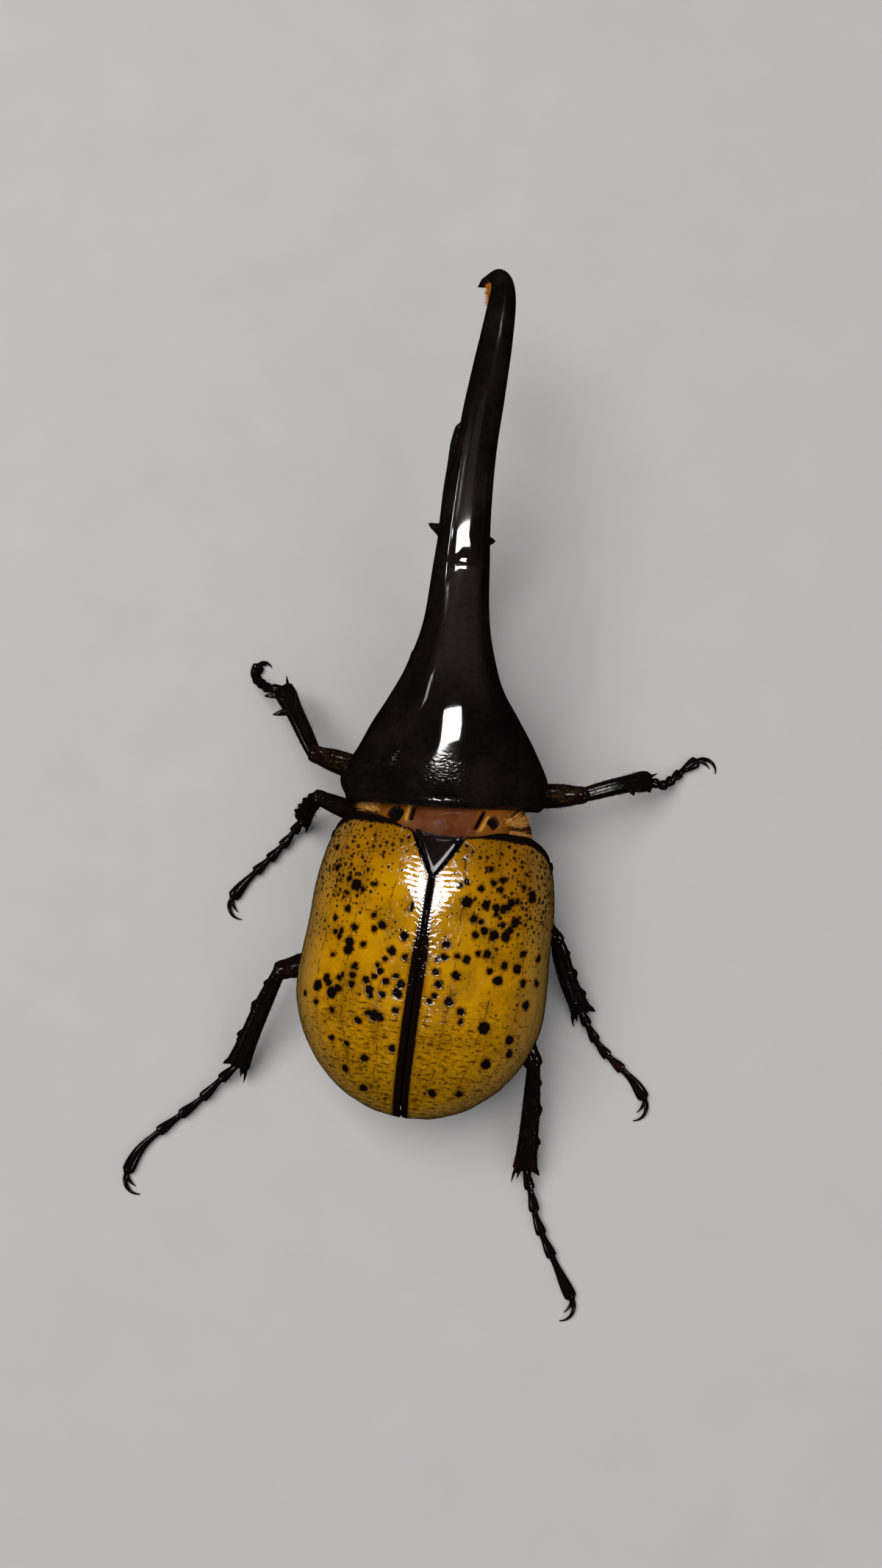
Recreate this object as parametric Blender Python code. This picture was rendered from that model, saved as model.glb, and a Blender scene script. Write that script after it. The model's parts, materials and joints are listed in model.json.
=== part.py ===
"""A male hercules beetle standing on the floor, as solid pieces at life size.

Sizes are in millimetres and the scene is in metres. +Z is up, the head points to -Y, and the
beetle's left side is +X. Each piece is one closed solid, parted from the next by a thin gap.
"""

import math

import bmesh
import bpy
from mathutils import Euler, Matrix, Vector

MM = 0.001
GAP = 0.3

# Stance: where the body's three frames stand, in millimetres and degrees.
STANCE_SHIFT = (-3.21, 22.91, 0.0)
HIND_PLACE, HIND_TURN = (-0.8, -17.9, 19.0), (-4.6, 3.6, -8.9)
FRONT_PLACE, FRONT_TURN = (-0.8, -20.9, 19.0), (0.0, -8.0, -2.3)
HEAD_PLACE, HEAD_TURN = (1.1, -13.0, -5.0), (0.0, 0.0, 0.2)

# Wing cases and the body under them.
CASE_LENGTH = 50.2
CASE_HALF_WIDTH = 21.4
CASE_CREST = 13.5
CASE_THICKNESS = 1.1
CASE_ROOM = 0.22
CASE_WIDEST = 0.52
CASE_HIGHEST = 0.38
SHOULDER_SHARE = 0.835
SHIELD_HALF_WIDTH, SHIELD_LENGTH, SHIELD_BASE = 4.4, 7.2, 1.6
BELLY_DEPTH, BELLY_DEEPEST, BELLY_REACH = 10.0, 14.0, 37.0
CHEST_END = 19.0

# Fore body: distance ahead of its rear edge, sideways, half width, height of the widest level,
# top, bottom.
FORE_BODY = [
    (0.0, 0.0, 16.3, 0.0, 9.4, -7.0),
    (1.2, 0.0, 17.2, 0.0, 10.2, -8.6),
    (4.5, 0.2, 17.9, 0.0, 11.6, -9.8),
    (9.5, 0.1, 15.3, 0.6, 13.9, -10.2),
    (14.5, 0.6, 12.3, 2.2, 16.0, -8.6),
    (18.4, 1.1, 9.6, 5.0, 17.4, -3.8),
    (22.5, 1.2, 7.5, 8.3, 18.5, 1.8),
    (29.0, 1.2, 5.5, 12.0, 19.9, 6.9),
    (38.0, 1.2, 4.6, 15.6, 21.0, 10.9),
]
UNDERSIDE_FULL = 1.6
# Great horn: distance ahead, sideways, height of its middle, half width, half height, twist.
GREAT_HORN = [
    (38.3, 1.2, 15.9, 4.6, 5.0, 0.0),
    (47.0, 0.8, 17.3, 3.9, 4.2, 2.0),
    (57.0, -0.2, 17.6, 3.4, 3.8, 5.0),
    (67.0, -1.6, 16.8, 3.2, 3.5, 9.0),
    (78.0, -3.4, 14.6, 2.8, 3.0, 14.0),
    (87.5, -4.8, 11.3, 2.3, 2.5, 20.0),
    (92.4, -4.6, 8.3, 1.7, 1.9, 26.0),
    (93.2, -2.4, 5.4, 0.8, 0.9, 30.0),
]
# Lower horn, in the head's frame: distance ahead, height, half width, half height.
LOWER_HORN = [
    (8.6, 0.6, 3.8, 3.2),
    (15.0, -0.9, 3.1, 3.0),
    (25.0, -1.2, 2.3, 2.8),
    (36.0, 1.6, 1.7, 2.6),
    (44.0, 5.4, 1.4, 2.3),
    (50.0, 9.4, 1.1, 1.6),
    (52.2, 12.2, 0.6, 0.7),
]
# Head: distance ahead, half width, top, bottom.
HEAD = [
    (-1.5, 4.4, 3.6, -3.6),
    (1.5, 5.4, 4.6, -4.6),
    (6.0, 5.7, 4.6, -5.0),
    (8.3, 5.2, 4.2, -4.8),
]
SNOUT = [(8.6, 5.3, -3.0, -5.0), (12.0, 4.4, -4.2, -5.6), (15.0, 3.4, -4.4, -5.9)]
EYE_RADIUS, EYE_PLACE = 1.7, (4.9, -4.6, -0.6)
# Left side mouthparts and antenna, in the head's frame: paths, then half widths and depths.
ANTENNA_PATH = [
    (4.5, -7.0, -2.9), (5.3, -8.4, -5.4), (4.7, -10.4, -7.2), (4.3, -12.4, -7.9),
    (4.2, -13.4, -8.1), (4.0, -15.6, -8.5), (3.8, -17.2, -8.7),
]
ANTENNA_WIDTHS = (0.45, 0.4, 0.35, 0.4, 0.9, 1.0, 0.5)
ANTENNA_DEPTHS = (0.4, 0.35, 0.35, 0.4, 0.7, 0.7, 0.4)
JAW_PATH = [(3.0, -13.0, -5.9), (2.9, -15.2, -5.9), (2.2, -17.2, -5.7), (1.3, -18.2, -5.5)]
JAW_WIDTHS, JAW_DEPTHS = (1.1, 1.2, 0.9, 0.4), (0.5, 0.6, 0.5, 0.3)
PALP_PATH = [(1.5, -10.3, -5.2), (2.0, -12.8, -7.6), (2.3, -14.8, -8.4), (1.9, -17.2, -8.8)]
PALP_RADII = (0.5, 0.45, 0.6, 0.4)
# Collar between the two halves of the body: distance behind, half width, top, bottom.
COLLAR = [(0.4, 14.2, 8.3, -7.6), (-2.0, 14.0, 7.2, -7.6), (-5.5, 12.0, 5.2, -7.0)]

# Legs in the stance frame: hip socket, hip, then the paths of the shin and the foot.
LEGS = {
    "front_left": {
        "hip": [(1.6, -26.0, 9.8), (8.6, -26.6, 8.8)],
        "shin": [(22.5, -30.8, 14.2), (25.6, -37.2, 12.0), (28.9, -43.6, 9.3)],
        "foot": [(31.6, -44.0, 7.2), (34.0, -45.9, 4.0), (35.4, -47.9, 0.8), (34.6, -50.1, 0.65)],
        "claw_turn": -150.0,
    },
    "front_right": {
        "hip": [(-4.9, -24.2, 9.8), (-11.8, -23.6, 8.8)],
        "shin": [(-25.2, -23.5, 13.3), (-32.2, -25.6, 10.0), (-38.2, -27.0, 6.0)],
        "foot": [(-41.4, -26.5, 3.4), (-43.5, -27.9, 1.8), (-45.8, -29.7, 0.9), (-48.5, -31.5, 0.65)],
        "claw_turn": -150.0,
        "tooth_drop": 1.6,
    },
    "middle_left": {
        "hip": [(2.8, -14.6, 9.8), (9.6, -18.4, 8.8)],
        "shin": [(21.4, -22.7, 17.0), (23.8, -21.6, 10.0), (25.6, -20.2, 3.4)],
        "foot": [(27.6, -17.7, 2.0), (30.6, -14.3, 1.3), (36.2, -8.9, 0.85), (39.0, -5.5, 0.65)],
        "claw_turn": 140.0,
    },
    "middle_right": {
        "hip": [(-3.6, -12.6, 9.8), (-10.2, -9.6, 8.8)],
        "shin": [(-20.4, 2.0, 12.0), (-22.5, 8.6, 8.0), (-25.3, 14.6, 4.0)],
        "foot": [(-27.0, 18.0, 2.2), (-29.6, 22.1, 1.4), (-34.9, 27.4, 0.85), (-37.2, 31.0, 0.65)],
        "claw_turn": -130.0,
    },
    "hind_left": {
        "hip": [(4.6, 2.6, 9.4), (12.0, 3.6, 8.4)],
        "shin": [(28.1, 7.2, 13.0), (32.0, 14.4, 8.8), (36.6, 24.3, 4.0)],
        "foot": [(40.0, 27.2, 2.2), (44.2, 31.2, 1.4), (53.8, 38.8, 0.85), (57.0, 44.1, 0.65)],
        "claw_turn": 130.0,
    },
    "hind_right": {
        "hip": [(-2.4, 5.0, 9.4), (-8.6, 9.4, 8.4)],
        "shin": [(-16.1, 23.2, 12.0), (-15.8, 32.0, 8.2), (-15.0, 42.4, 4.0)],
        "foot": [(-16.3, 47.8, 2.2), (-17.5, 52.9, 1.4), (-21.5, 61.8, 0.85), (-23.5, 65.9, 0.65)],
        "claw_turn": -130.0,
    },
}
SOCKET_RADIUS = 3.0
# Half widths and half depths from the near end to the far end of each segment.
THIGH_WIDTHS = {
    "front": (1.5, 2.0, 2.2, 2.0, 1.5),
    "middle": (1.2, 1.6, 1.8, 1.6, 1.3),
    "hind": (1.5, 2.1, 2.3, 2.1, 1.6),
}
THIGH_DEPTHS = (1.3, 1.9, 2.1, 1.9, 1.4)
SHIN_WIDTHS = {
    "front": (1.2, 1.5, 1.7, 1.8, 1.8, 1.6, 1.4),
    "middle": (1.1, 1.1, 1.2, 1.3, 1.4, 1.6, 1.8),
    "hind": (1.3, 1.2, 1.3, 1.4, 1.5, 1.7, 2.0),
}
SHIN_DEPTHS = (1.2, 1.1, 1.1, 1.15, 1.2, 1.25, 1.2)
SPUR_LENGTH = 3.8
TOE_NECK, TOE_END, LAST_TOE_END = 0.45, 0.75, 0.95
CLAW_LENGTH, CLAW_RADIUS, CLAW_SPREAD = 4.6, 0.42, 24.0
CLAW_ROOT_HEIGHT, CLAW_TIP_HEIGHT = 0.7, 0.15

COLOURS = {
    "black_shell": ((0.010, 0.008, 0.008), 0.2),
    "olive_case": ((0.440, 0.215, 0.010), 0.25),
    "brown_neck": ((0.150, 0.045, 0.012), 0.35),
    "brown_shell": ((0.045, 0.016, 0.010), 0.3),
    "eye_black": ((0.015, 0.010, 0.008), 0.1),
}


def clear_scene():
    """Takes away every object that the scene starts with."""
    for thing in list(bpy.data.objects):
        bpy.data.objects.remove(thing, do_unlink=True)


def material(name):
    """A glossy shell material of the named colour, made once."""
    if name in bpy.data.materials:
        return bpy.data.materials[name]
    colour, roughness = COLOURS[name]
    made = bpy.data.materials.new(name)
    made.use_nodes = True
    shader = made.node_tree.nodes["Principled BSDF"]
    shader.inputs["Base Color"].default_value = (*colour, 1.0)
    shader.inputs["Roughness"].default_value = roughness
    shader.inputs["Metallic"].default_value = 0.0
    return made


def empty(name, place, turn, parent=None):
    """A frame that pieces are parented to, at a place in millimetres and a turn in degrees."""
    made = bpy.data.objects.new(name, None)
    bpy.context.scene.collection.objects.link(made)
    made.location = Vector(place) * MM
    made.rotation_euler = Euler([math.radians(angle) for angle in turn], "XYZ")
    made.parent = parent
    return made


def signed_power(value, power):
    """A power of a number's size, with the number's sign."""
    return math.copysign(abs(value) ** power, value)


def between(rows, steps):
    """Rows of numbers on a smooth curve through the given rows, steps of them from row to row."""
    made = []
    for index in range(len(rows) - 1):
        before = rows[max(index - 1, 0)]
        start, end = rows[index], rows[index + 1]
        after = rows[min(index + 2, len(rows) - 1)]
        for step in range(steps):
            t = step / steps
            made.append(tuple(
                b + 0.5 * t * (c - a + t * (2 * a - 5 * b + 4 * c - d + t * (3 * (b - c) + d - a)))
                for a, b, c, d in zip(before, start, end, after)
            ))
    made.append(rows[-1])
    return made


def section(half_width, middle, top, bottom, count, upper=2.2, lower=2.0):
    """(sideways, height) points round a shell section, widest at the height called middle."""
    points = []
    for index in range(count):
        angle = 2 * math.pi * index / count
        power = 2 / (upper if math.sin(angle) >= 0 else lower)
        reach = (top if math.sin(angle) >= 0 else bottom) - middle
        points.append((
            half_width * signed_power(math.cos(angle), power),
            middle + reach * abs(math.sin(angle)) ** power,
        ))
    return points


def solid_mesh(rings, start_tip=None, end_tip=None):
    """A closed mesh through rings of points, and its side faces by ring and by side."""
    mesh = bmesh.new()
    loops = [[mesh.verts.new(Vector(point) * MM) for point in ring] for ring in rings]
    count = len(loops[0])
    sides = [
        [mesh.faces.new((low[k], low[(k + 1) % count], high[(k + 1) % count], high[k]))
         for k in range(count)]
        for low, high in zip(loops, loops[1:])
    ]
    for loop, tip in ((loops[0], start_tip), (loops[-1], end_tip)):
        if tip is None:
            mesh.faces.new(loop)
            continue
        point = mesh.verts.new(Vector(tip) * MM)
        for k in range(count):
            mesh.faces.new((loop[k], loop[(k + 1) % count], point))
    return mesh, sides


def finish(mesh, name, colour, parent):
    """The object of a mesh, faces turned out and shaded smooth."""
    bmesh.ops.recalc_face_normals(mesh, faces=mesh.faces)
    if mesh.calc_volume(signed=True) < 0:
        bmesh.ops.reverse_faces(mesh, faces=mesh.faces)
    data = bpy.data.meshes.new(name)
    mesh.to_mesh(data)
    mesh.free()
    data.materials.append(material(colour))
    data.shade_smooth()
    data.set_sharp_from_angle(angle=math.radians(50))
    made = bpy.data.objects.new(name, data)
    bpy.context.scene.collection.objects.link(made)
    made.parent = parent
    return made


def add_spike(mesh, face, tip):
    """Draws the middle of a face out to a tip point, as a tooth."""
    made = bmesh.ops.poke(mesh, faces=[face])
    made["verts"][0].co = Vector(tip) * MM


def helper(thing):
    """Marks an object as one that only shapes others."""
    thing.hide_render = True
    thing.display_type = "WIRE"
    return thing


def cut(piece, *others):
    """Cuts room for the other pieces out of this one, with the thin gap round them."""
    for other in others:
        grown = helper(bpy.data.objects.new(f"room_{other.name}_{piece.name}", other.data))
        bpy.context.scene.collection.objects.link(grown)
        grown.parent = other.parent
        swell = grown.modifiers.new("gap", "DISPLACE")
        swell.strength = GAP * MM
        swell.mid_level = 0.0
        remove = piece.modifiers.new(f"room_for_{other.name}", "BOOLEAN")
        remove.operation = "DIFFERENCE"
        remove.object = grown


def case_half_width(share):
    """Half the width of the closed wing cases at a share of their length."""
    if share < CASE_WIDEST:
        short = (CASE_WIDEST - share) / CASE_WIDEST
        return 1 - (1 - SHOULDER_SHARE) * short ** 3.5
    past = (share - CASE_WIDEST) / (1 - CASE_WIDEST)
    return math.sqrt(max(0.0, 1 - past ** 2.1))


def case_height(share):
    """Height of the wing cases' crest over their rim at a share of their length."""
    if share < CASE_HIGHEST:
        return 1 - 0.2 * ((CASE_HIGHEST - share) / CASE_HIGHEST) ** 2
    past = (share - CASE_HIGHEST) / (1 - CASE_HIGHEST)
    return math.sqrt(max(0.0, 1 - past ** 2.6))


def case_front(sideways):
    """How far back the front edge lies: notched by the shield, rounded at the shoulder."""
    notch = SHIELD_BASE + SHIELD_LENGTH * max(0.0, 1 - sideways / (SHIELD_HALF_WIDTH + 0.5))
    inner = notch if sideways < SHIELD_HALF_WIDTH + 0.5 else 0.0
    outer = max(0.0, sideways / (SHOULDER_SHARE * CASE_HALF_WIDTH) - 0.78) / 0.22
    return inner + 3.2 * outer ** 2.4


def case_point(along, across, inset):
    """A point of a wing case: along runs front to rear and across from seam to rim, 0 to 1."""
    angle = across * math.pi / 2
    reach = math.sin(angle) ** 0.9
    width = CASE_HALF_WIDTH - inset
    front = case_front(SHOULDER_SHARE * width * reach)
    length = CASE_LENGTH - inset
    behind = front + (length - front) * along
    share = behind / length
    return (
        width * case_half_width(share) * reach + GAP / 2,
        behind,
        (CASE_CREST - inset) * case_height(share) * math.cos(angle) ** 0.9,
    )


def wing_case(name, side, parent):
    """One wing case: a curved shell, open below, from a grid of points and a grid inside it."""
    rows, columns = 11, 10
    alongs = [math.sin(0.5 * math.pi * row / rows) ** 1.15 for row in range(rows + 1)]
    acrosses = [column / columns for column in range(columns + 1)]
    mesh = bmesh.new()
    layers = []
    for inset in (0.0, CASE_THICKNESS):
        grid = []
        for along in alongs[:-1]:
            points = [case_point(along, across, inset) for across in acrosses]
            grid.append([mesh.verts.new(Vector((side * x, y, z)) * MM) for x, y, z in points])
        end = mesh.verts.new(Vector((side * GAP / 2, CASE_LENGTH - inset, 0.0)) * MM)
        layers.append((grid, end))
    for grid, end in layers:
        for first, second in zip(grid, grid[1:]):
            for k in range(columns):
                mesh.faces.new((first[k], first[k + 1], second[k + 1], second[k]))
        for k in range(columns):
            mesh.faces.new((grid[-1][k], grid[-1][k + 1], end))
    (outer, outer_end), (inner, inner_end) = layers
    for k in range(columns):
        mesh.faces.new((outer[0][k], outer[0][k + 1], inner[0][k + 1], inner[0][k]))
    for edge in (0, columns):
        for row in range(len(outer) - 1):
            mesh.faces.new((outer[row][edge], outer[row + 1][edge],
                            inner[row + 1][edge], inner[row][edge]))
        mesh.faces.new((outer[-1][edge], outer_end, inner_end, inner[-1][edge]))
    return finish(mesh, name, "olive_case", parent)


def trunk_section(behind, count=20):
    """Section of the body under the wing cases, at a distance behind their front edge."""
    inset = CASE_THICKNESS + GAP + CASE_ROOM
    share = max(behind, 0.0) / (CASE_LENGTH - inset)
    width = (CASE_HALF_WIDTH - inset) * case_half_width(share) - CASE_ROOM
    top = (CASE_CREST - inset) * case_height(share) - CASE_ROOM
    away = abs(behind - BELLY_DEEPEST) / BELLY_REACH
    depth = BELLY_DEPTH * math.sqrt(max(0.02, 1 - away ** 2.4))
    return [(x, behind, z) for x, z in section(width, 0.0, top, -depth, count, 2.2, 1.7)]


def trunk(name, first, last, stations, parent, rounded=False):
    """A length of the body under the wing cases. The hind end is rounded off."""
    places = [first + (last - first) * k / stations for k in range(stations + 1)]
    if rounded:
        places = [first + (last - first) * math.sin(0.5 * math.pi * k / stations)
                  for k in range(stations + 1)][:-1]
    rings = [trunk_section(place) for place in places]
    tip = (0.0, last, -0.3) if rounded else None
    mesh, _ = solid_mesh(rings, end_tip=tip)
    return finish(mesh, name, "black_shell", parent)


def collar(parent):
    """The brown collar between the wing cases and the fore body."""
    rings = [[(x, y, z) for x, z in section(width, 0.0, top, bottom, 16, 2.6, 2.0)]
             for y, width, top, bottom in COLLAR]
    mesh, _ = solid_mesh(rings)
    return finish(mesh, "neck_collar", "brown_neck", parent)


def shield(parent):
    """The small black triangle between the wing cases, a thick plate with a pointed rear."""
    crest = CASE_CREST * case_height(0.08)
    outline = [
        (-SHIELD_HALF_WIDTH, 0.9), (0.0, 0.7), (SHIELD_HALF_WIDTH, 0.9),
        (SHIELD_HALF_WIDTH * 0.62, 3.6), (0.0, SHIELD_BASE + SHIELD_LENGTH - 0.9),
        (-SHIELD_HALF_WIDTH * 0.62, 3.6),
    ]
    rings = [[(x * grow, y * grow, crest + lift) for x, y in outline]
             for grow, lift in ((1.0, -1.1), (1.0, 0.0))]
    mesh, _ = solid_mesh(rings, end_tip=(0.0, 3.0, crest + 0.7))
    return finish(mesh, "shield", "black_shell", parent)


def fore_body(parent):
    """The great black shell behind the head, drawn out forward into the root of the horn."""
    rings = []
    for ahead, shift, width, middle, top, bottom in between(FORE_BODY, 2):
        lower = UNDERSIDE_FULL + (2.0 - UNDERSIDE_FULL) * min(1.0, max(0.0, (ahead - 14.0) / 16.0))
        rings.append([(x + shift, -ahead, z)
                      for x, z in section(width, middle, top, bottom, 22, 2.1, lower)])
    mesh, _ = solid_mesh(rings)
    return finish(mesh, "fore_body", "black_shell", parent)


def swept_rings(centres, widths, depths, count, twists=None, first_axis=None, half_step=False):
    """Rings of points square to a path, each turned about it by its twist in degrees."""
    twists = twists or [0.0] * len(centres)
    rings = []
    for index, centre in enumerate(centres):
        ahead = centres[min(index + 1, len(centres) - 1)] - centres[max(index - 1, 0)]
        along = ahead.normalized()
        if index == 0 and first_axis is not None:
            along = Vector(first_axis)
        side = along.cross(Vector((0.0, 0.0, 1.0))).normalized()
        up = side.cross(along)
        turn = Matrix.Rotation(math.radians(twists[index]), 3, along)
        ring = []
        for k in range(count):
            angle = 2 * math.pi * (k + 0.5 * half_step) / count
            offset = side * widths[index] * math.cos(angle) + up * depths[index] * math.sin(angle)
            ring.append(centre + turn @ offset)
        rings.append(ring)
    return rings


def great_horn(parent):
    """The long upper horn with a hooked tip and a small tooth on each side near its root."""
    rows = between(GREAT_HORN, 2)
    centres = [Vector((row[1], -row[0], row[2])) for row in rows]
    rings = swept_rings(centres, [row[3] for row in rows], [row[4] for row in rows], 12,
                        [-row[5] for row in rows], first_axis=(0.0, -1.0, 0.0))
    mesh, sides = solid_mesh(rings, end_tip=(-1.4, -92.8, 4.4))
    targets = [Vector((0.9 + side * 5.8, -44.6, 13.4)) for side in (-1, 1)]
    nearest = [
        min(sides[1], key=lambda face: (face.calc_center_median() / MM - target).length)
        for target in targets
    ]
    for face, target in zip(nearest, targets):
        add_spike(mesh, face, target)
    return finish(mesh, "great_horn", "black_shell", parent)


def lower_horn(parent):
    """The horn of the head, curving up under the great horn, with two teeth on its upper side."""
    rows = between(LOWER_HORN, 2)
    centres = [Vector((0.0, -row[0], row[1])) for row in rows]
    rings = swept_rings(centres, [row[2] for row in rows], [row[3] for row in rows], 10,
                        first_axis=(0.0, -1.0, 0.0))
    mesh, sides = solid_mesh(rings, end_tip=(0.0, -52.6, 13.6))
    for ring, tip in ((6, (0.0, -37.0, 7.4)), (9, (0.0, -46.0, 11.2))):
        top = max(sides[ring], key=lambda f: f.calc_center_median().z)
        add_spike(mesh, top, tip)
    return finish(mesh, "lower_horn", "black_shell", parent)


def head(parent):
    """The head capsule, and the flat snout plate under the lower horn's root."""
    rings = [[(x, -ahead, z) for x, z in section(width, 0.0, top, bottom, 14, 2.4, 2.4)]
             for ahead, width, top, bottom in between(HEAD, 2)]
    mesh, _ = solid_mesh(rings)
    capsule = finish(mesh, "head", "black_shell", parent)
    rings = [[(x, -ahead, z) for x, z in section(width, (top + low) / 2, top, low, 12)]
             for ahead, width, top, low in SNOUT]
    mesh, _ = solid_mesh(rings)
    plate = finish(mesh, "snout", "black_shell", parent)
    return capsule, plate


def eye(word, side, parent):
    """A round eye, half sunk in the side of the head."""
    mesh = bmesh.new()
    bmesh.ops.create_uvsphere(mesh, u_segments=10, v_segments=6, radius=EYE_RADIUS * MM)
    place = (side * EYE_PLACE[0], EYE_PLACE[1], EYE_PLACE[2])
    bmesh.ops.translate(mesh, verts=mesh.verts, vec=Vector(place) * MM)
    return finish(mesh, f"eye_{word}", "eye_black", parent)


def head_limb(name, side, path, widths, depths, colour, parent):
    """A small limb of the head, along a path given for the left side."""
    centres = [Vector((side * x, y, z)) for x, y, z in path]
    mesh, _ = solid_mesh(swept_rings(centres, widths, depths, 6))
    return finish(mesh, name, colour, parent)


def head_limbs(word, side, parent):
    """One side's antenna with its flat club, its mandible and its palp."""
    return (
        head_limb(f"antenna_{word}", side, ANTENNA_PATH, ANTENNA_WIDTHS, ANTENNA_DEPTHS,
                  "brown_shell", parent),
        head_limb(f"jaw_{word}", side, JAW_PATH, JAW_WIDTHS, JAW_DEPTHS, "black_shell", parent),
        head_limb(f"palp_{word}", side, PALP_PATH, PALP_RADII, PALP_RADII, "brown_shell", parent),
    )


def outward_side(along, place):
    """The level direction square to a shin that points away from the body."""
    side = along.cross(Vector((0.0, 0.0, 1.0))).normalized()
    return side if (side.x > 0) == place.endswith("left") else -side


def hip(place, parent):
    """The coxa: a short rounded block set into the underside."""
    start, end = (Vector(point) for point in LEGS[place]["hip"])
    centres = [start.lerp(end, share) for share in (0.0, 0.3, 0.65, 1.0)]
    radii = [SOCKET_RADIUS * share for share in (0.62, 0.95, 1.0, 0.8)]
    rings = swept_rings(centres, radii, [0.85 * radius for radius in radii], 10)
    tip = start - (end - start).normalized() * 1.2
    mesh, _ = solid_mesh(rings, start_tip=tip)
    return finish(mesh, f"hip_{place}", "black_shell", parent)


def thigh(place, parent):
    """The femur, thickest in the middle and a little flattened."""
    widths = THIGH_WIDTHS[place.split("_")[0]]
    start, end = Vector(LEGS[place]["hip"][1]), Vector(LEGS[place]["shin"][0])
    along = (end - start).normalized()
    start, end = start + along * 1.2, end - along * 0.4
    centres = [start.lerp(end, index / 4) for index in range(5)]
    rings = swept_rings(centres, widths, THIGH_DEPTHS, 10)
    mesh, _ = solid_mesh(rings, start_tip=start - along * 1.1, end_tip=end + along * 0.9)
    return finish(mesh, f"thigh_{place}", "brown_shell", parent)


def shin(place, parent):
    """The tibia, widening to its end, with teeth on the outer edge and spurs at its end."""
    path = between(LEGS[place]["shin"], 3)
    centres = [Vector(point) for point in path]
    along = (centres[-1] - centres[0]).normalized()
    outward = outward_side(along, place)
    outward.z -= LEGS[place].get("tooth_drop", 0.0)
    outward.normalize()
    rings = swept_rings(centres, SHIN_WIDTHS[place.split("_")[0]], SHIN_DEPTHS, 8)
    mesh, sides = solid_mesh(rings, start_tip=centres[0] - along * 0.9)

    def spike(ring, direction, reach, ahead, count=1):
        faces = [face for face in sides[ring] if face.is_valid]
        faces.sort(key=lambda face: face.calc_center_median().dot(direction))
        for face in faces[-count:]:
            middle = face.calc_center_median() / MM
            add_spike(mesh, face, middle + direction * reach + along * ahead)

    if place.startswith("front"):
        spike(1, outward, 0.7, 0.6)
        spike(3, outward, 1.9, 0.9)
        spike(5, outward, 1.5, 2.2)
    else:
        spike(2, outward, 0.7, 0.9)
        spike(4, outward, 0.9, 1.3)
        spike(5, outward, 0.9, 1.9)
        spike(5, -outward, 0.7, SPUR_LENGTH, count=2)
    return finish(mesh, f"shin_{place}", "black_shell", parent)


def along_path(path, share):
    """The point at a share of a path's length."""
    lengths = [(end - start).length for start, end in zip(path, path[1:])]
    left = share * sum(lengths)
    for start, end, length in zip(path, path[1:], lengths):
        if left <= length:
            return start.lerp(end, left / length)
        left -= length
    return path[-1]


def stand(rings):
    """Rings with every point under the floor lifted onto it, which leaves a small flat."""
    return [[Vector((point.x, point.y, max(point.z, 0.0))) for point in ring] for ring in rings]


def claw(name, root, heading, turn, parent):
    """A hooked claw that leaves the last joint and bends round: a helper for the foot's union."""
    steps = 4
    here = root - heading * 0.7
    centres, radii = [], []
    for step in range(steps + 1):
        share = step / steps
        height = CLAW_ROOT_HEIGHT * (1 - share) + CLAW_TIP_HEIGHT * share
        centres.append(Vector((here.x, here.y, height)))
        radii.append(CLAW_RADIUS * (1.0 - 0.35 * share))
        here += Matrix.Rotation(turn * share, 3, "Z") @ heading * (CLAW_LENGTH / steps)
    mesh, _ = solid_mesh(stand(swept_rings(centres, radii, radii, 6)))
    return helper(finish(mesh, name, "black_shell", parent))


def foot(place, parent):
    """The tarsus: five joints, each narrow at its root, the last one flat where it stands."""
    points = [LEGS[place]["shin"][-1]] + LEGS[place]["foot"]
    path = [Vector(point) for point in between(points, 8)]
    joints = (0.0, 0.17, 0.34, 0.51, 0.68, 1.0)
    shares, radii = [], []
    for first, second in zip(joints, joints[1:]):
        end = LAST_TOE_END if second == joints[-1] else TOE_END
        shares += [first + 0.012, first + (second - first) * 0.6, second - 0.012]
        radii += [TOE_NECK, 0.9 * end, end]
    centres = [along_path(path, share) for share in shares]
    rings = stand(swept_rings(centres, radii, radii, 8, half_step=True))
    back = (centres[0] - centres[1]).normalized() * 0.4
    mesh, _ = solid_mesh(rings, start_tip=centres[0] + back)
    made = finish(mesh, f"foot_{place}", "black_shell", parent)
    heading = centres[-1] - centres[-3]
    heading.z = 0.0
    heading.normalize()
    for side, word in ((-1, "right"), (1, "left")):
        spread = Matrix.Rotation(math.radians(side * CLAW_SPREAD), 3, "Z")
        hook = claw(f"claw_{word}_{place}", centres[-1], spread @ heading,
                    math.radians(LEGS[place]["claw_turn"]), parent)
        join = made.modifiers.new(f"{word}_claw", "BOOLEAN")
        join.operation = "UNION"
        join.object = hook
    return made


def leg(place, body, parent):
    """One leg, each joint cut to take the next. body is the list of pieces its hip sits in."""
    socket = hip(place, parent)
    upper = thigh(place, parent)
    lower = shin(place, parent)
    toes = foot(place, parent)
    cut(socket, upper)
    cut(upper, lower)
    cut(lower, toes)
    for piece in body:
        cut(piece, socket, upper)


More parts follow.
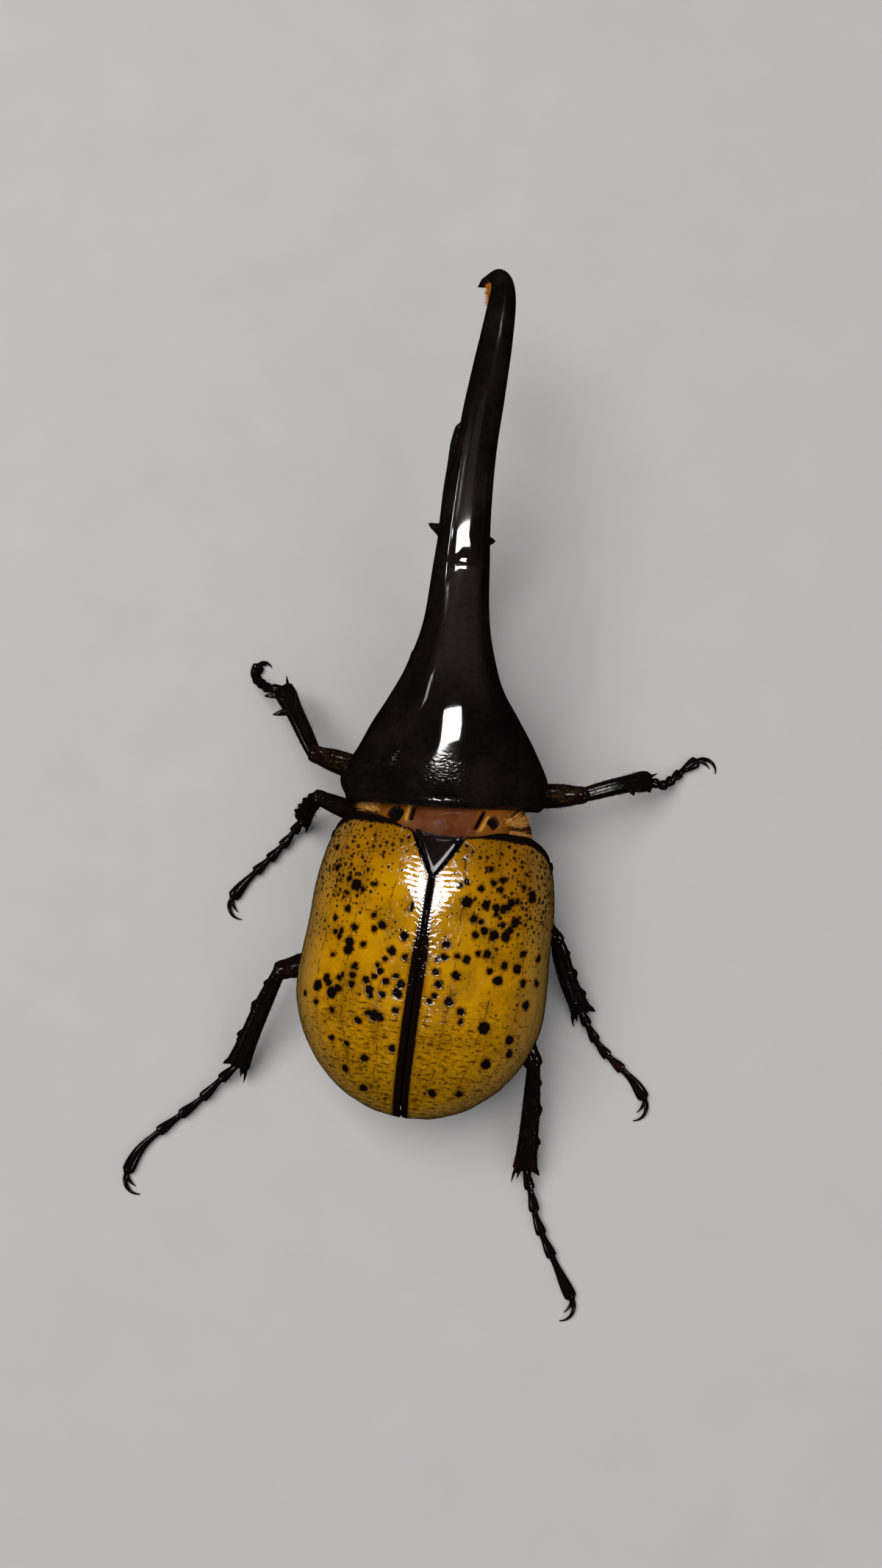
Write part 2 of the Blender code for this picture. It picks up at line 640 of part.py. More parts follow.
def build():
    """Makes every piece in its frame, then cuts the rooms where pieces meet."""
    clear_scene()
    stance = empty("stance", STANCE_SHIFT, (0.0, 0.0, 0.0))
    hind = empty("hind_frame", HIND_PLACE, HIND_TURN, stance)
    front = empty("front_frame", FRONT_PLACE, FRONT_TURN, stance)
    skull = empty("head_frame", HEAD_PLACE, HEAD_TURN, front)

    left_case = wing_case("wing_case_left", 1, hind)
    right_case = wing_case("wing_case_right", -1, hind)
    plate = shield(hind)
    chest = trunk("chest", 0.7, CHEST_END, 6, hind)
    belly = trunk("belly", CHEST_END + GAP, CASE_LENGTH - 1.7, 9, hind, rounded=True)
    neck = collar(hind)
    shell = fore_body(front)
    great_horn(front)
    lower_horn(skull)
    capsule, snout = head(skull)
    for side, word in ((1, "left"), (-1, "right")):
        lens = eye(word, side, skull)
        cut(capsule, lens)
        cut(shell, lens)
        limbs = head_limbs(word, side, skull)
        cut(snout, *limbs)
        cut(capsule, limbs[0])
    cut(left_case, plate)
    cut(right_case, plate)
    cut(chest, plate, neck)
    cut(neck, shell, plate, left_case, right_case)
    cut(capsule, shell)
    bodies = {"front": [shell], "middle": [chest], "hind": [chest, belly]}
    for place in LEGS:
        leg(place, bodies[place.split("_")[0]], stance)


build()
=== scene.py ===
# %% [markdown]
# # A hercules beetle, life size
#
# The solids of the beetle come packed as a fixed frame. Here each shell plate, horn and leg gets
# its fine shape and its finish. A beetle wears its skeleton outside: stiff plates, polished like
# lacquer, that meet in thin seams, with golden hair only in the folds. So nearly every piece is
# made the same way: rings of points along a body line, eased into a smooth surface, and then
# pushed in and out along its normals for ridges, seams and pits.

# %% Load the frame
import json
import math

import bmesh
import bpy
import numpy as np
from mathutils import Euler, Matrix, Vector

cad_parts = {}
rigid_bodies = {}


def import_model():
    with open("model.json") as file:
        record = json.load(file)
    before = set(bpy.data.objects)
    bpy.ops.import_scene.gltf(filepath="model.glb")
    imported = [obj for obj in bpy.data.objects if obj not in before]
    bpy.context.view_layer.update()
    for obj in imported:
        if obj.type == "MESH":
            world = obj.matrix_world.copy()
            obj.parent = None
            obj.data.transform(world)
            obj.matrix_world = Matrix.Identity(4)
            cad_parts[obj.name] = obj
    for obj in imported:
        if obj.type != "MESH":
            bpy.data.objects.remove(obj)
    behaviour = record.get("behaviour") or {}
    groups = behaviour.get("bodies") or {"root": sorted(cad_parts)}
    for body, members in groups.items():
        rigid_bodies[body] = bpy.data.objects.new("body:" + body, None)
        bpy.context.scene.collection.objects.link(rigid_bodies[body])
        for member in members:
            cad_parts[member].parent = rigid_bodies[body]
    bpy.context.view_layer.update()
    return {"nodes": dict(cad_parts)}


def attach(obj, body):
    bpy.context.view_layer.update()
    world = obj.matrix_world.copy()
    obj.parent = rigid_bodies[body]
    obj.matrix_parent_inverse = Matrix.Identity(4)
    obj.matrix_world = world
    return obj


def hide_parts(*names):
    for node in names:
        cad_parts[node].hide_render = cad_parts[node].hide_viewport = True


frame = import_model()
MM = 0.001
print("nodes in the frame:", len(frame["nodes"]))

# %% [markdown]
# ## Where the body stands
#
# The beetle holds its fore body a little turned against its wing cases, so the model has one
# frame for the hind body, one for the fore body and one for the head. All of the shapes below
# are written in these frames in millimetres, with the head towards -Y.

# %% Frames of the body
AHEAD, UP = np.array([0.0, -1.0, 0.0]), np.array([0.0, 0.0, 1.0])


def frame_at(place, turn, parent=Matrix.Identity(4)):
    """A frame at a place in millimetres, turned by angles in degrees."""
    angles = Euler([math.radians(angle) for angle in turn], "XYZ")
    return parent @ Matrix.LocRotScale(Vector(place), angles, None)


STANCE = frame_at((-3.21, 22.91, 0.0), (0.0, 0.0, 0.0))
HIND = frame_at((-0.8, -17.9, 19.0), (-4.6, 3.6, -8.9), STANCE)
FRONT = frame_at((-0.8, -20.9, 19.0), (0.0, -8.0, -2.3), STANCE)
SKULL = frame_at((1.1, -13.0, -5.0), (0.0, 0.0, 0.2), FRONT)
print("wing cases start at", [round(value, 1) for value in HIND.translation])

# %% [markdown]
# ## Camera
#
# The photograph looks almost straight down, from about 22 centimetres above the floor. So the
# camera hangs over the beetle, tilted by a few degrees, and the lens gives the same framing.

# %% Camera
EYE_HEIGHT, EYE_TILT = 221.0, 7.0
FILM_HEIGHT, LENS = 36.0, 27.05
NEAREST_SEEN = 0.01

camera_data = bpy.data.cameras.new("camera")
camera_data.sensor_fit = "VERTICAL"
camera_data.sensor_height = FILM_HEIGHT
camera_data.lens = LENS
camera_data.clip_start = NEAREST_SEEN
camera = bpy.data.objects.new("camera", camera_data)
bpy.context.scene.collection.objects.link(camera)
camera.location = (STANCE.translation + Vector((0.0, 0.0, EYE_HEIGHT))) * MM
camera.rotation_euler = (math.radians(EYE_TILT), 0.0, math.pi)
bpy.context.scene.camera = camera
print("camera at", [round(value, 3) for value in camera.location])

# %% [markdown]
# ## Soft light
#
# Polished shell mirrors its surroundings, so the lights have two jobs that are kept apart. Two
# wide panels and a dim light from all round bring out the colours, and leave no mirror image. The
# small windows made at the end do the reverse.

# %% Panels and the light from all round
BODY_MIDDLE = (0.0, 0.0, 10.0)
# Panels: place in metres, width and height in metres, and power in watts.
PANELS = {
    "soft_overhead": ((0.40, -0.30, 1.15), (0.9, 0.9), 12.0),
    "soft_fill": ((-0.5, 0.5, 1.1), (1.2, 1.2), 3.5),
}
DIM_COLOUR, DIM_STRENGTH = (0.80, 0.82, 0.85, 1.0), 0.10


def lamp(name, place, target, size, spread=180.0):
    """A rectangular area light at a place, facing a target, both in metres."""
    light = bpy.data.lights.new(name, "AREA")
    light.shape = "RECTANGLE"
    light.size, light.size_y = size
    light.spread = math.radians(spread)
    made = bpy.data.objects.new(name, light)
    bpy.context.scene.collection.objects.link(made)
    made.location = place
    aim = Vector(target) - Vector(place)
    made.rotation_euler = aim.to_track_quat("-Z", "Y").to_euler()
    return made


for name, (place, size, power) in PANELS.items():
    panel = lamp(name, place, Vector(BODY_MIDDLE) * MM, size)
    panel.data.energy = power
    panel.visible_glossy = False

world = bpy.data.worlds.new("dim_light")
world.use_nodes = True
world.node_tree.nodes["Background"].inputs["Color"].default_value = DIM_COLOUR
world.node_tree.nodes["Background"].inputs["Strength"].default_value = DIM_STRENGTH
world.cycles_visibility.glossy = False
bpy.context.scene.world = world
bpy.context.scene.view_settings.view_transform = "Standard"
print("panels:", ", ".join(PANELS))

# %% [markdown]
# ## Shader maths
#
# A finish is a sum of masks: a dark band near the seam, spots, a little noise. Written as plain
# expressions these stay readable, so a small class wraps the output of a node, and adding or
# multiplying two of them adds the Math node that does it. Colours never go through Math nodes,
# which would turn them grey, but through a Mix node.

# %% Sockets and finishes


class Socket:
    """One output of a node. Arithmetic on it adds Math nodes to its finish."""

    def __init__(self, finish, output):
        self.finish = finish
        self.output = output

    def __add__(self, other):
        return self.finish.math("ADD", self, other)

    def __sub__(self, other):
        return self.finish.math("SUBTRACT", self, other)

    def __rsub__(self, other):
        return self.finish.math("SUBTRACT", other, self)

    def __mul__(self, other):
        return self.finish.math("MULTIPLY", self, other)

    def __truediv__(self, other):
        return self.finish.math("DIVIDE", self, other)

    __radd__ = __add__
    __rmul__ = __mul__


SHELL_IOR = 1.5


class Finish:
    """The material of one kind of surface, built node by node."""

    def __init__(self, name):
        self.material = bpy.data.materials.new(name)
        self.material.use_nodes = True
        self.tree = self.material.node_tree
        self.shader = self.tree.nodes["Principled BSDF"]

    def node(self, kind, settings, inputs, output=0):
        """Adds a node, sets it up, joins its inputs and returns one of its outputs."""
        made = self.tree.nodes.new("ShaderNode" + kind)
        for name, value in settings.items():
            setattr(made, name, value)
        for name, value in inputs.items():
            self.feed(made.inputs[name], value)
        return Socket(self, made.outputs[output])

    def feed(self, socket, value):
        """Links a socket to an output, or sets its own value."""
        if isinstance(value, Socket):
            self.tree.links.new(value.output, socket)
        else:
            socket.default_value = value

    def math(self, operation, *values):
        """A Math node on numbers and outputs."""
        return self.node("Math", {"operation": operation}, dict(enumerate(values)))

    def step(self, value, low, high):
        """0 below low, 1 above high and a soft step between. low may be the larger one."""
        inputs = {"Value": value, "From Min": low, "From Max": high}
        return self.node("MapRange", {"interpolation_type": "SMOOTHSTEP"}, inputs)

    def mix(self, share, first, second):
        """The first colour where share is 0 and the second where it is 1."""
        inputs = {0: share, 6: first, 7: second}
        return self.node("Mix", {"data_type": "RGBA"}, inputs, 2)

    def place(self):
        """The point on the piece, in metres."""
        return self.node("TexCoord", {}, {}, "Object")

    def split(self, vector):
        """The first two numbers of a vector."""
        return [self.node("SeparateXYZ", {}, {0: vector}, axis) for axis in "XY"]

    def map(self, name):
        """The two numbers that a map of the piece holds."""
        return self.split(self.node("UVMap", {"uv_map": name}, {}))

    def stretched(self, vector, factors):
        """A vector with each of its numbers multiplied by a factor."""
        return self.node("VectorMath", {"operation": "MULTIPLY"}, {0: vector, 1: factors})

    def noise(self, size, detail=2.0, at=None):
        """Cloudy noise from 0 to 1, with lumps of the given size in millimetres."""
        inputs = {"Vector": at or self.place(), "Scale": 1 / (size * MM), "Detail": detail}
        return self.node("TexNoise", {}, inputs, "Fac")

    def cells(self, size, feature="F1", at=None, randomness=1.0):
        """Distance in a field of cells of the given size in millimetres, 0 at their middles."""
        inputs = {"Vector": at or self.place(), "Scale": 1 / (size * MM), "Randomness": randomness}
        return self.node("TexVoronoi", {"feature": feature}, inputs, "Distance")

    def surface(self, colour, roughness, height=None, depth=0.1):
        """Joins colour, roughness and bump to the shader. depth is the bump's, in millimetres."""
        self.feed(self.shader.inputs["Base Color"], colour)
        self.feed(self.shader.inputs["Roughness"], roughness)
        self.shader.inputs["IOR"].default_value = SHELL_IOR
        if height is not None:
            inputs = {"Height": height, "Distance": depth * MM, "Strength": 1.0}
            self.feed(self.shader.inputs["Normal"], self.node("Bump", {}, inputs))
        return self.material


print("finish helpers ready")

# %% [markdown]
# ## Finishes of the black shell
#
# Beetle shell is like varnished dark horn: almost black, a little brown or purple where light gets into it,
# and mirror-smooth on top. A low roughness on a nearly black colour gives that, and a fine bump breaks the
# mirror images up into sparks. The rear of the fore body is pitted like leather, and its crest behind the
# creases is worn to a satin and painted a little paler as sheen, so both are masks over the same finish.

# %% Black shell, legs and undersides
BLACK, PURPLE_BROWN = (0.004, 0.003, 0.003, 1.0), (0.017, 0.009, 0.010, 1.0)
# The paler colour over the worn crest is a painted sheen.
PAINTED_SHEEN, RED_BROWN = (0.026, 0.017, 0.017, 1.0), (0.022, 0.006, 0.003, 1.0)
THIGH_BLACK, THIGH_BROWN = (0.008, 0.004, 0.003, 1.0), (0.035, 0.013, 0.005, 1.0)
UNDER_BLACK = (0.010, 0.005, 0.004, 1.0)
# Where the fore body changes: from and to, in millimetres ahead of its rear edge.
LEATHER, HORN_ROOT = (8.8, 4.0), (41.0, 46.0)
WEAR_AND_SHEEN_BEGINS, WEAR_AND_SHEEN_ENDS = (14.0, 24.0), (37.0, 36.0)
# Where the worn band with its painted sheen fades, in degrees round from the crest.
WEAR_AND_SHEEN_SIDES = (46.0, 26.0)


def polished_black():
    """The horns, head and fore body: lacquer black, leathery towards the rear edge, with a painted sheen on
    the worn crest.
    """
    finish = Finish("polished_black_horn")
    place = finish.place()
    ahead, from_crest = finish.map("skin")
    rear = finish.step(ahead, *LEATHER) * finish.step(ahead, 0.0, 0.1)
    cloud = finish.noise(7.0, 3.0, at=place)
    grain = finish.noise(0.9, 2.0, at=place)
    wear_and_sheen = finish.step(ahead, *WEAR_AND_SHEEN_BEGINS) * finish.step(ahead, *WEAR_AND_SHEEN_ENDS)
    wear_and_sheen = wear_and_sheen * finish.step(from_crest + cloud * 16.0, *WEAR_AND_SHEEN_SIDES)
    horn = finish.step(ahead, *HORN_ROOT)
    colour = finish.mix(finish.step(cloud * 0.7 + grain * 0.3, 0.35, 0.75), BLACK, PURPLE_BROWN)
    # Painted sheen: the worn crest is coloured paler.
    colour = finish.mix(wear_and_sheen * (0.3 + grain), colour, PAINTED_SHEEN)
    pitted = finish.stretched(place, (0.6, 1.0, 1.0))
    pits = finish.cells(0.42, "SMOOTH_F1", at=pitted) + finish.noise(0.35, 3.0, at=pitted)
    fibres = finish.noise(0.8, 3.0, at=finish.stretched(place, (1.0, 0.2, 1.0)))
    swell = finish.noise(1.3, 2.0, at=place)
    height = pits * rear * 0.6 + swell * 0.07 + fibres * (wear_and_sheen + horn) * 0.3
    roughness = 0.06 + rear * 0.04 + wear_and_sheen * 0.04 + horn * 0.12
    return finish.surface(colour, roughness, height, 0.07)


def leg_shell(name, pit_shade_and_black_band, light, pit_depth):
    """Legs and undersides: dark shell, redder in patches, with a fine scatter of pits."""
    finish = Finish(name)
    place = finish.place()
    cloud = finish.noise(3.5, 3.0, at=place)
    colour = finish.mix(finish.step(cloud, 0.55, 0.85), pit_shade_and_black_band, light)
    pits = finish.step(finish.cells(0.8, at=place), 0.0, 0.35)
    height = pits * 0.6 + finish.noise(0.7, 3.0, at=place) * 0.4
    return finish.surface(colour, 0.08 + cloud * 0.12, height, pit_depth)


horn_finish = polished_black()
leg_finish = leg_shell("leg_shell", BLACK, RED_BROWN, 0.03)
thigh_finish = leg_shell("thigh_shell", THIGH_BLACK, THIGH_BROWN, 0.04)
under_finish = leg_shell("underside_shell", UNDER_BLACK, RED_BROWN, 0.06)
print("black finishes ready")

# %% [markdown]
# ## Small finishes: collar, eyes and hair
#
# Between the two halves of the body shows a smooth red-brown plate. The eyes are black beads with
# faint facets. Hair on a hercules beetle is golden, and stiff bristles on its legs are dark.

# %% Collar, eye and hair finishes
COLLAR_DARK, COLLAR_RED = (0.115, 0.030, 0.010, 1.0), (0.180, 0.055, 0.018, 1.0)
# The dark brown at the collar's outer ends is painted shade, and so is the dark in its pits and slits.
COLLAR_ORANGE, COLLAR_END_SHADE = (0.225, 0.070, 0.007, 1.0), (0.050, 0.014, 0.004, 1.0)
FOLD_GOLD, PIT_SHADE = (0.620, 0.290, 0.045, 1.0), (0.060, 0.016, 0.003, 1.0)
EYE_BROWN = (0.030, 0.014, 0.008, 1.0)


def collar_brown():
    """The plate in the gap: red-brown in its middle, orange outside, black before the shield, with painted
    shade at its outer ends and in its pits and slits.
    """
    finish = Finish("collar_red_brown")
    sideways, behind = finish.map("flat")
    sideways = finish.math("ABSOLUTE", sideways)
    pit, fold = finish.map("hollow")
    cloud = finish.noise(3.0, 3.0)
    fine = finish.noise(0.7, 3.0)
    colour = finish.mix(finish.step(cloud, 0.3, 0.7), COLLAR_DARK, COLLAR_RED)
    colour = finish.mix(finish.step(sideways + fine, 5.4, 6.6), colour, COLLAR_ORANGE)
    # Painted shade at the outer ends.
    colour = finish.mix(finish.step(sideways + fine * 2.0, 10.5, 13.0), colour, COLLAR_END_SHADE)
    colour = finish.mix(fold * finish.step(fine, 0.2, 0.5), colour, FOLD_GOLD)
    # Painted shade in the pits and slits: brown at their rims, black deep in.
    colour = finish.mix(finish.step(pit, 0.02, 0.35), colour, PIT_SHADE)
    pit_shade_and_black_band = finish.math("MAXIMUM", finish.step(pit, 0.30, 0.8), finish.step(behind + fine, 2.4, 2.8))
    colour = finish.mix(pit_shade_and_black_band, colour, BLACK)
    return finish.surface(colour, 0.14 + fine * 0.14, fine * 0.5 + cloud, 0.03)


def eye_bead():
    """A dark compound eye, with facets as a fine honeycomb of cells."""
    finish = Finish("eye_bead")
    facets = finish.cells(0.09, randomness=0.2)
    colour = finish.mix(finish.noise(0.8), BLACK, EYE_BROWN)
    return finish.surface(colour, 0.05, facets, 0.01)


def hair(name, pit_shade_and_black_band, light):
    """Hair whose colour changes from strand to strand, by a noise finer than the strands lie."""
    finish = Finish(name)
    colour = finish.mix(finish.step(finish.noise(0.6, 1.0), 0.3, 0.7), pit_shade_and_black_band, light)
    return finish.surface(colour, 0.38)


collar_finish = collar_brown()
eye_finish = eye_bead()
gold_hair = hair("golden_hair", (0.48, 0.17, 0.020, 1.0), (0.86, 0.47, 0.110, 1.0))
orange_hair = hair("orange_hair", (0.42, 0.11, 0.008, 1.0), (0.78, 0.27, 0.020, 1.0))
tawny_hair = hair("tawny_hair", (0.10, 0.035, 0.006, 1.0), (0.45, 0.22, 0.060, 1.0))
dark_hair = hair("dark_bristle", (0.014, 0.005, 0.003, 1.0), (0.080, 0.026, 0.010, 1.0))
print("small finishes ready")

# %% [markdown]
# ## Surfaces from rings
#
# Most pieces are tubes: a body line with a ring of points round it at each step. Rows of a few
# numbers give the line and the size of the ring, and a smooth curve through the rows gives as many
# rings as the surface needs. Normals come from the grid of points itself, and ridges and grooves
# are heights along those normals.

# %% Rings, grids and normals


def through(rows, count):
    """Count rows of numbers, evenly along a smooth curve through the given rows."""
    rows = np.array(rows, float)
    place = np.linspace(0, len(rows) - 1, count)
    start = np.minimum(place.astype(int), len(rows) - 2)
    t = (place - start)[:, None]
    a, b, c, d = (rows[np.clip(start + k, 0, len(rows) - 1)] for k in (-1, 0, 1, 2))
    return b + 0.5 * t * (c - a + t * (2 * a - 5 * b + 4 * c - d + t * (3 * (b - c) + d - a)))


def eased(values, count):
    """Count numbers, evenly along a smooth curve through a few."""
    return through(np.array(values)[:, None], count)[:, 0]


def signed_power(value, power):
    """A power that keeps the sign of the value."""
    return np.sign(value) * np.abs(value) ** power


def soft_step(value, low, high):
    """0 at low and 1 at high with a soft step between, for numbers or arrays."""
    share = np.clip((value - low) / (high - low), 0.0, 1.0)
    return share * share * (3 - 2 * share)


def bead(value, middle, width):
    """A round ridge of height 1 at middle, that has faded at about 1.5 widths away."""
    return np.exp(-((value - middle) / width) ** 2)


def unit(vectors):
    """Vectors brought to length 1."""
    return vectors / np.maximum(np.linalg.norm(vectors, axis=-1, keepdims=True), 1e-9)


def swept(centres, widths, ups, downs, sides, along, twists=None, upper=2.0, lower=2.0):
    """Rings round a body line, square to along: a grid of points, ring by ring.

    upper and lower say how square each half of a ring is: 2 is an ellipse, more is boxier.
    """
    angles = 2 * math.pi * np.arange(sides) / sides
    along = np.broadcast_to(along, centres.shape)
    side = unit(np.cross(UP, along))
    up = np.cross(along, side)
    if twists is not None:
        turn = np.radians(twists)[:, None]
        side, up = (side * np.cos(turn) + up * np.sin(turn), up * np.cos(turn) - side * np.sin(turn))
    cosines, sines = np.cos(angles)[None, :], np.sin(angles)[None, :]
    rising = sines >= 0
    power = 2 / np.where(rising, np.reshape(upper, (-1, 1)), np.reshape(lower, (-1, 1)))
    reach = np.where(rising, np.reshape(ups, (-1, 1)), np.reshape(downs, (-1, 1)))
    out = np.reshape(widths, (-1, 1)) * signed_power(cosines, power)
    lift = reach * signed_power(sines, power)
    return centres[:, None, :] + side[:, None, :] * out[..., None] + up[:, None, :] * lift[..., None]


def heading(centres):
    """Unit directions along a line of points."""
    return unit(np.gradient(centres, axis=0))


def normals_of(grid, closed=True):
    """Outward normals over a grid of points."""
    down = np.gradient(grid, axis=0)
    across = np.roll(grid, -1, 1) - np.roll(grid, 1, 1) if closed else np.gradient(grid, axis=1)
    normals = unit(np.cross(across, down))
    outward = grid - grid.mean(axis=1, keepdims=True)
    return normals * (1.0 if (normals * outward).sum() > 0 else -1.0)


def upward_normals(sheet):
    """Normals over an open sheet of points, on its upper side."""
    normals = normals_of(sheet, closed=False)
    return normals * (1.0 if normals[..., 2].mean() > 0 else -1.0)


def placed(grid, place):
    """Points in a frame, as points of the scene, still in millimetres."""
    matrix = np.array(place)
    return grid @ matrix[:3, :3].T + matrix[:3, 3]


def waves(count, seed, *coordinates):
    """Gentle random unevenness between -1 and 1: a sum of slanted waves over coordinates."""
    random = np.random.default_rng(seed)
    total = 0.0
    for _ in range(count):
        pitch = random.normal(size=len(coordinates))
        phase = random.uniform(0, 2 * math.pi)
        total = total + np.sin(sum(p * c for p, c in zip(pitch, coordinates)) + phase)
    return total / math.sqrt(count)


print("surface helpers ready")

# %% [markdown]
# ## Forms and pieces
#
# A piece can hold more than one form, such as a shin with its spines. A Form gathers the points
# and faces, and piece() makes the Blender object: it sits at the origin with its place in its
# mesh, as the solids do, rides on the one rigid body, and stands in for the solids it replaces.

# %% Forms and pieces
WELD_VOXEL, WELD_EASING = 0.16, 3


class Form:
    """Points and faces of one piece, gathered form by form, in millimetres."""

    def __init__(self):
        self.points, self.faces, self.count = [], [], 0

    def add(self, points, faces):
        """Adds points and faces, and gives the number of the first point."""
        points = np.reshape(points, (-1, 3))
        first = self.count
        self.points.append(points)
        self.faces += [[corner + first for corner in face] for face in faces]
        self.count += len(points)
        return first

    def grid(self, grid, closed=True):
        """A grid of points as quads, joined round when closed."""
        rows, columns = grid.shape[:2]
        last = columns if closed else columns - 1
        faces = [
            (r * columns + c, r * columns + (c + 1) % columns,
             (r + 1) * columns + (c + 1) % columns, (r + 1) * columns + c)
            for r in range(rows - 1) for c in range(last)
        ]
        return self.add(grid, faces)

    def tube(self, grid, start=None, end=None):
        """A closed tube: rings, with a fan to a point at each end, by default to its middle."""
        rows, columns = grid.shape[:2]
        first = self.grid(grid)
        for ring, tip, base in ((grid[0], start, first), (grid[-1], end, first + (rows - 1) * columns)):
            point = ring.mean(axis=0) if tip is None else np.array(tip, float)
            centre = self.add(point, [])
            self.faces += [(base + k, base + (k + 1) % columns, centre) for k in range(columns)]
        return self


def piece(name, form, finish, slot, *nodes, place=Matrix.Identity(4)):
    """Makes the object of a form, in a material, in place of some nodes of the frame."""
    data = bpy.data.meshes.new(name)
    data.from_pydata(placed(np.concatenate(form.points), place) * MM, [], form.faces)
    work = bmesh.new()
    work.from_mesh(data)
    bmesh.ops.recalc_face_normals(work, faces=work.faces)
    work.to_mesh(data)
    work.free()
    data.shade_smooth()
    data.materials.append(finish)
    made = bpy.data.objects.new(name, data)
    bpy.context.scene.collection.objects.link(made)
    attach(made, "root")
    if nodes:
        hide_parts(*nodes)
    print(f"{name}: {len(data.polygons)} faces")
    return made


def weld(made):
    """Joins overlapping forms into one skin with a voxel remesh, then eases its steps away."""
    remesh = made.modifiers.new("weld", "REMESH")
    remesh.mode = "VOXEL"
    remesh.voxel_size = WELD_VOXEL * MM
    remesh.use_smooth_shade = True
    smooth = made.modifiers.new("ease", "SMOOTH")
    smooth.factor = 0.5
    smooth.iterations = WELD_EASING
    shaped = made.evaluated_get(bpy.context.evaluated_depsgraph_get())
    joined = bpy.data.meshes.new_from_object(shaped)
    made.modifiers.clear()
    material = made.data.materials[0]
    made.data = joined
    joined.name = made.name
    if not joined.materials:
        joined.materials.append(material)
    joined.shade_smooth()
    print(f"{made.name}: welded to {len(joined.polygons)} faces")


print("piece helpers ready")

# %% [markdown]
# ## Wing cases
#
# Each wing case is a thin curved shell that closes against its twin along a raised black seam.
# The pair has a simple outline, so it is worked out from curves: a half width and a height along
# the length, and a front edge that bends back to make room for the shield. The grid of points runs
# from seam to rim and from front to rear, and the distances over it are kept for relief and spots.

# %% Shape of the closed wing cases
GAP = 0.3
CASE_LENGTH, CASE_HALF_WIDTH, CASE_CREST, CASE_THICKNESS = 50.2, 21.4, 13.5, 0.9
CASE_WIDEST, CASE_HIGHEST, SHOULDER_SHARE = 0.52, 0.38, 0.835
SHIELD_HALF_WIDTH, SHIELD_TIP, NOTCH_DEPTH = 3.9, 8.4, 7.7
FRONT_SAG, SAG_STARTS, CORNER_RADIUS = 1.6, 11.0, 4.0
CASE_ROWS, CASE_COLUMNS = 230, 130
# How far the rows reach towards the rear tip, as a share of the way.
LAST_CASE_ROW = 0.992


def case_half_width(share):
    """Half the width of the closed cases at a share of their length, as a share of the widest."""
    short = np.maximum(CASE_WIDEST - share, 0.0) / CASE_WIDEST
    past = np.maximum(share - CASE_WIDEST, 0.0) / (1 - CASE_WIDEST)
    front = 1 - (1 - SHOULDER_SHARE) * short ** 3.5
    return np.where(share < CASE_WIDEST, front, np.sqrt(np.maximum(0.0, 1 - past ** 2.1)))


def case_height(share):
    """Height of the crest at a share of the length, as a share of the highest."""
    short = np.maximum(CASE_HIGHEST - share, 0.0) / CASE_HIGHEST
    past = np.maximum(share - CASE_HIGHEST, 0.0) / (1 - CASE_HIGHEST)
    return np.where(share < CASE_HIGHEST, 1 - 0.2 * short ** 2,
                    np.sqrt(np.maximum(0.0, 1 - past ** 2.6)))


def case_front(sideways):
    """How far back the front edge lies: it sags to the notch of the shield and rounds outside."""
    edge = SHIELD_HALF_WIDTH + 0.3
    sag = FRONT_SAG * soft_step(sideways, SAG_STARTS, edge)
    notch = NOTCH_DEPTH * np.maximum(0.0, 1 - sideways / edge)
    from_side = SHOULDER_SHARE * CASE_HALF_WIDTH - sideways
    corner = np.clip(1 - from_side / CORNER_RADIUS, 0.0, 1.0)
    return sag + notch + CORNER_RADIUS * (1 - np.sqrt(1 - corner ** 2))


def case_grid(side):
    """Points of one closed wing case, and distances from seam, front of the pair, rim and front."""
    along = np.sin(0.5 * math.pi * np.linspace(0, LAST_CASE_ROW, CASE_ROWS)) ** 1.15
    across = np.linspace(0, 1, CASE_COLUMNS) ** 0.93
    along, angle = along[:, None], across[None, :] * math.pi / 2
    reach = np.sin(angle) ** 0.9
    front = case_front(SHOULDER_SHARE * CASE_HALF_WIDTH * reach)
    behind = front + (CASE_LENGTH - front) * along
    share = behind / CASE_LENGTH
    grid = np.stack([
        CASE_HALF_WIDTH * case_half_width(share) * reach + GAP / 2,
        behind,
        CASE_CREST * case_height(share) * np.cos(angle) ** 0.9,
    ], axis=-1)
    from_seam = np.zeros(grid.shape[:2])
    steps = np.linalg.norm(np.diff(grid[..., [0, 2]], axis=1), axis=-1)
    from_seam[:, 1:] = np.cumsum(steps, axis=1)
    from_rim = from_seam[:, -1:] - from_seam
    from_front = behind - front
    return grid * np.array([side, 1.0, 1.0]), from_seam, behind, from_rim, from_front


print("rim of a wing case:", round(float(case_half_width(np.array(0.5)) * CASE_HALF_WIDTH), 1), "mm")

# %% [markdown]
# ## Relief of the wing cases
#
# The shell has a bead round its rim, a thick front edge, two low bosses, and fine cross wrinkles
# beside the seam that break up the highlights like a comb. All are heights over the plain curve,
# and each follows a distance from the seam, the front or the rim, so it keeps to the edges.

# %% Relief over a wing case
COMB_PITCH, COMB_HEIGHT = 0.90, 0.11
SEAM_HEIGHT, RIM_HEIGHT, FRONT_HEIGHT = 0.05, 0.30, 0.18
# Bosses: height, then place and width across from the seam, then place and width behind.
BOSSES = ((0.55, 14.8, 3.2, 6.0, 4.2), (0.35, 9.0, 3.0, 42.5, 3.0))
ROLL_DEPTH = 0.9


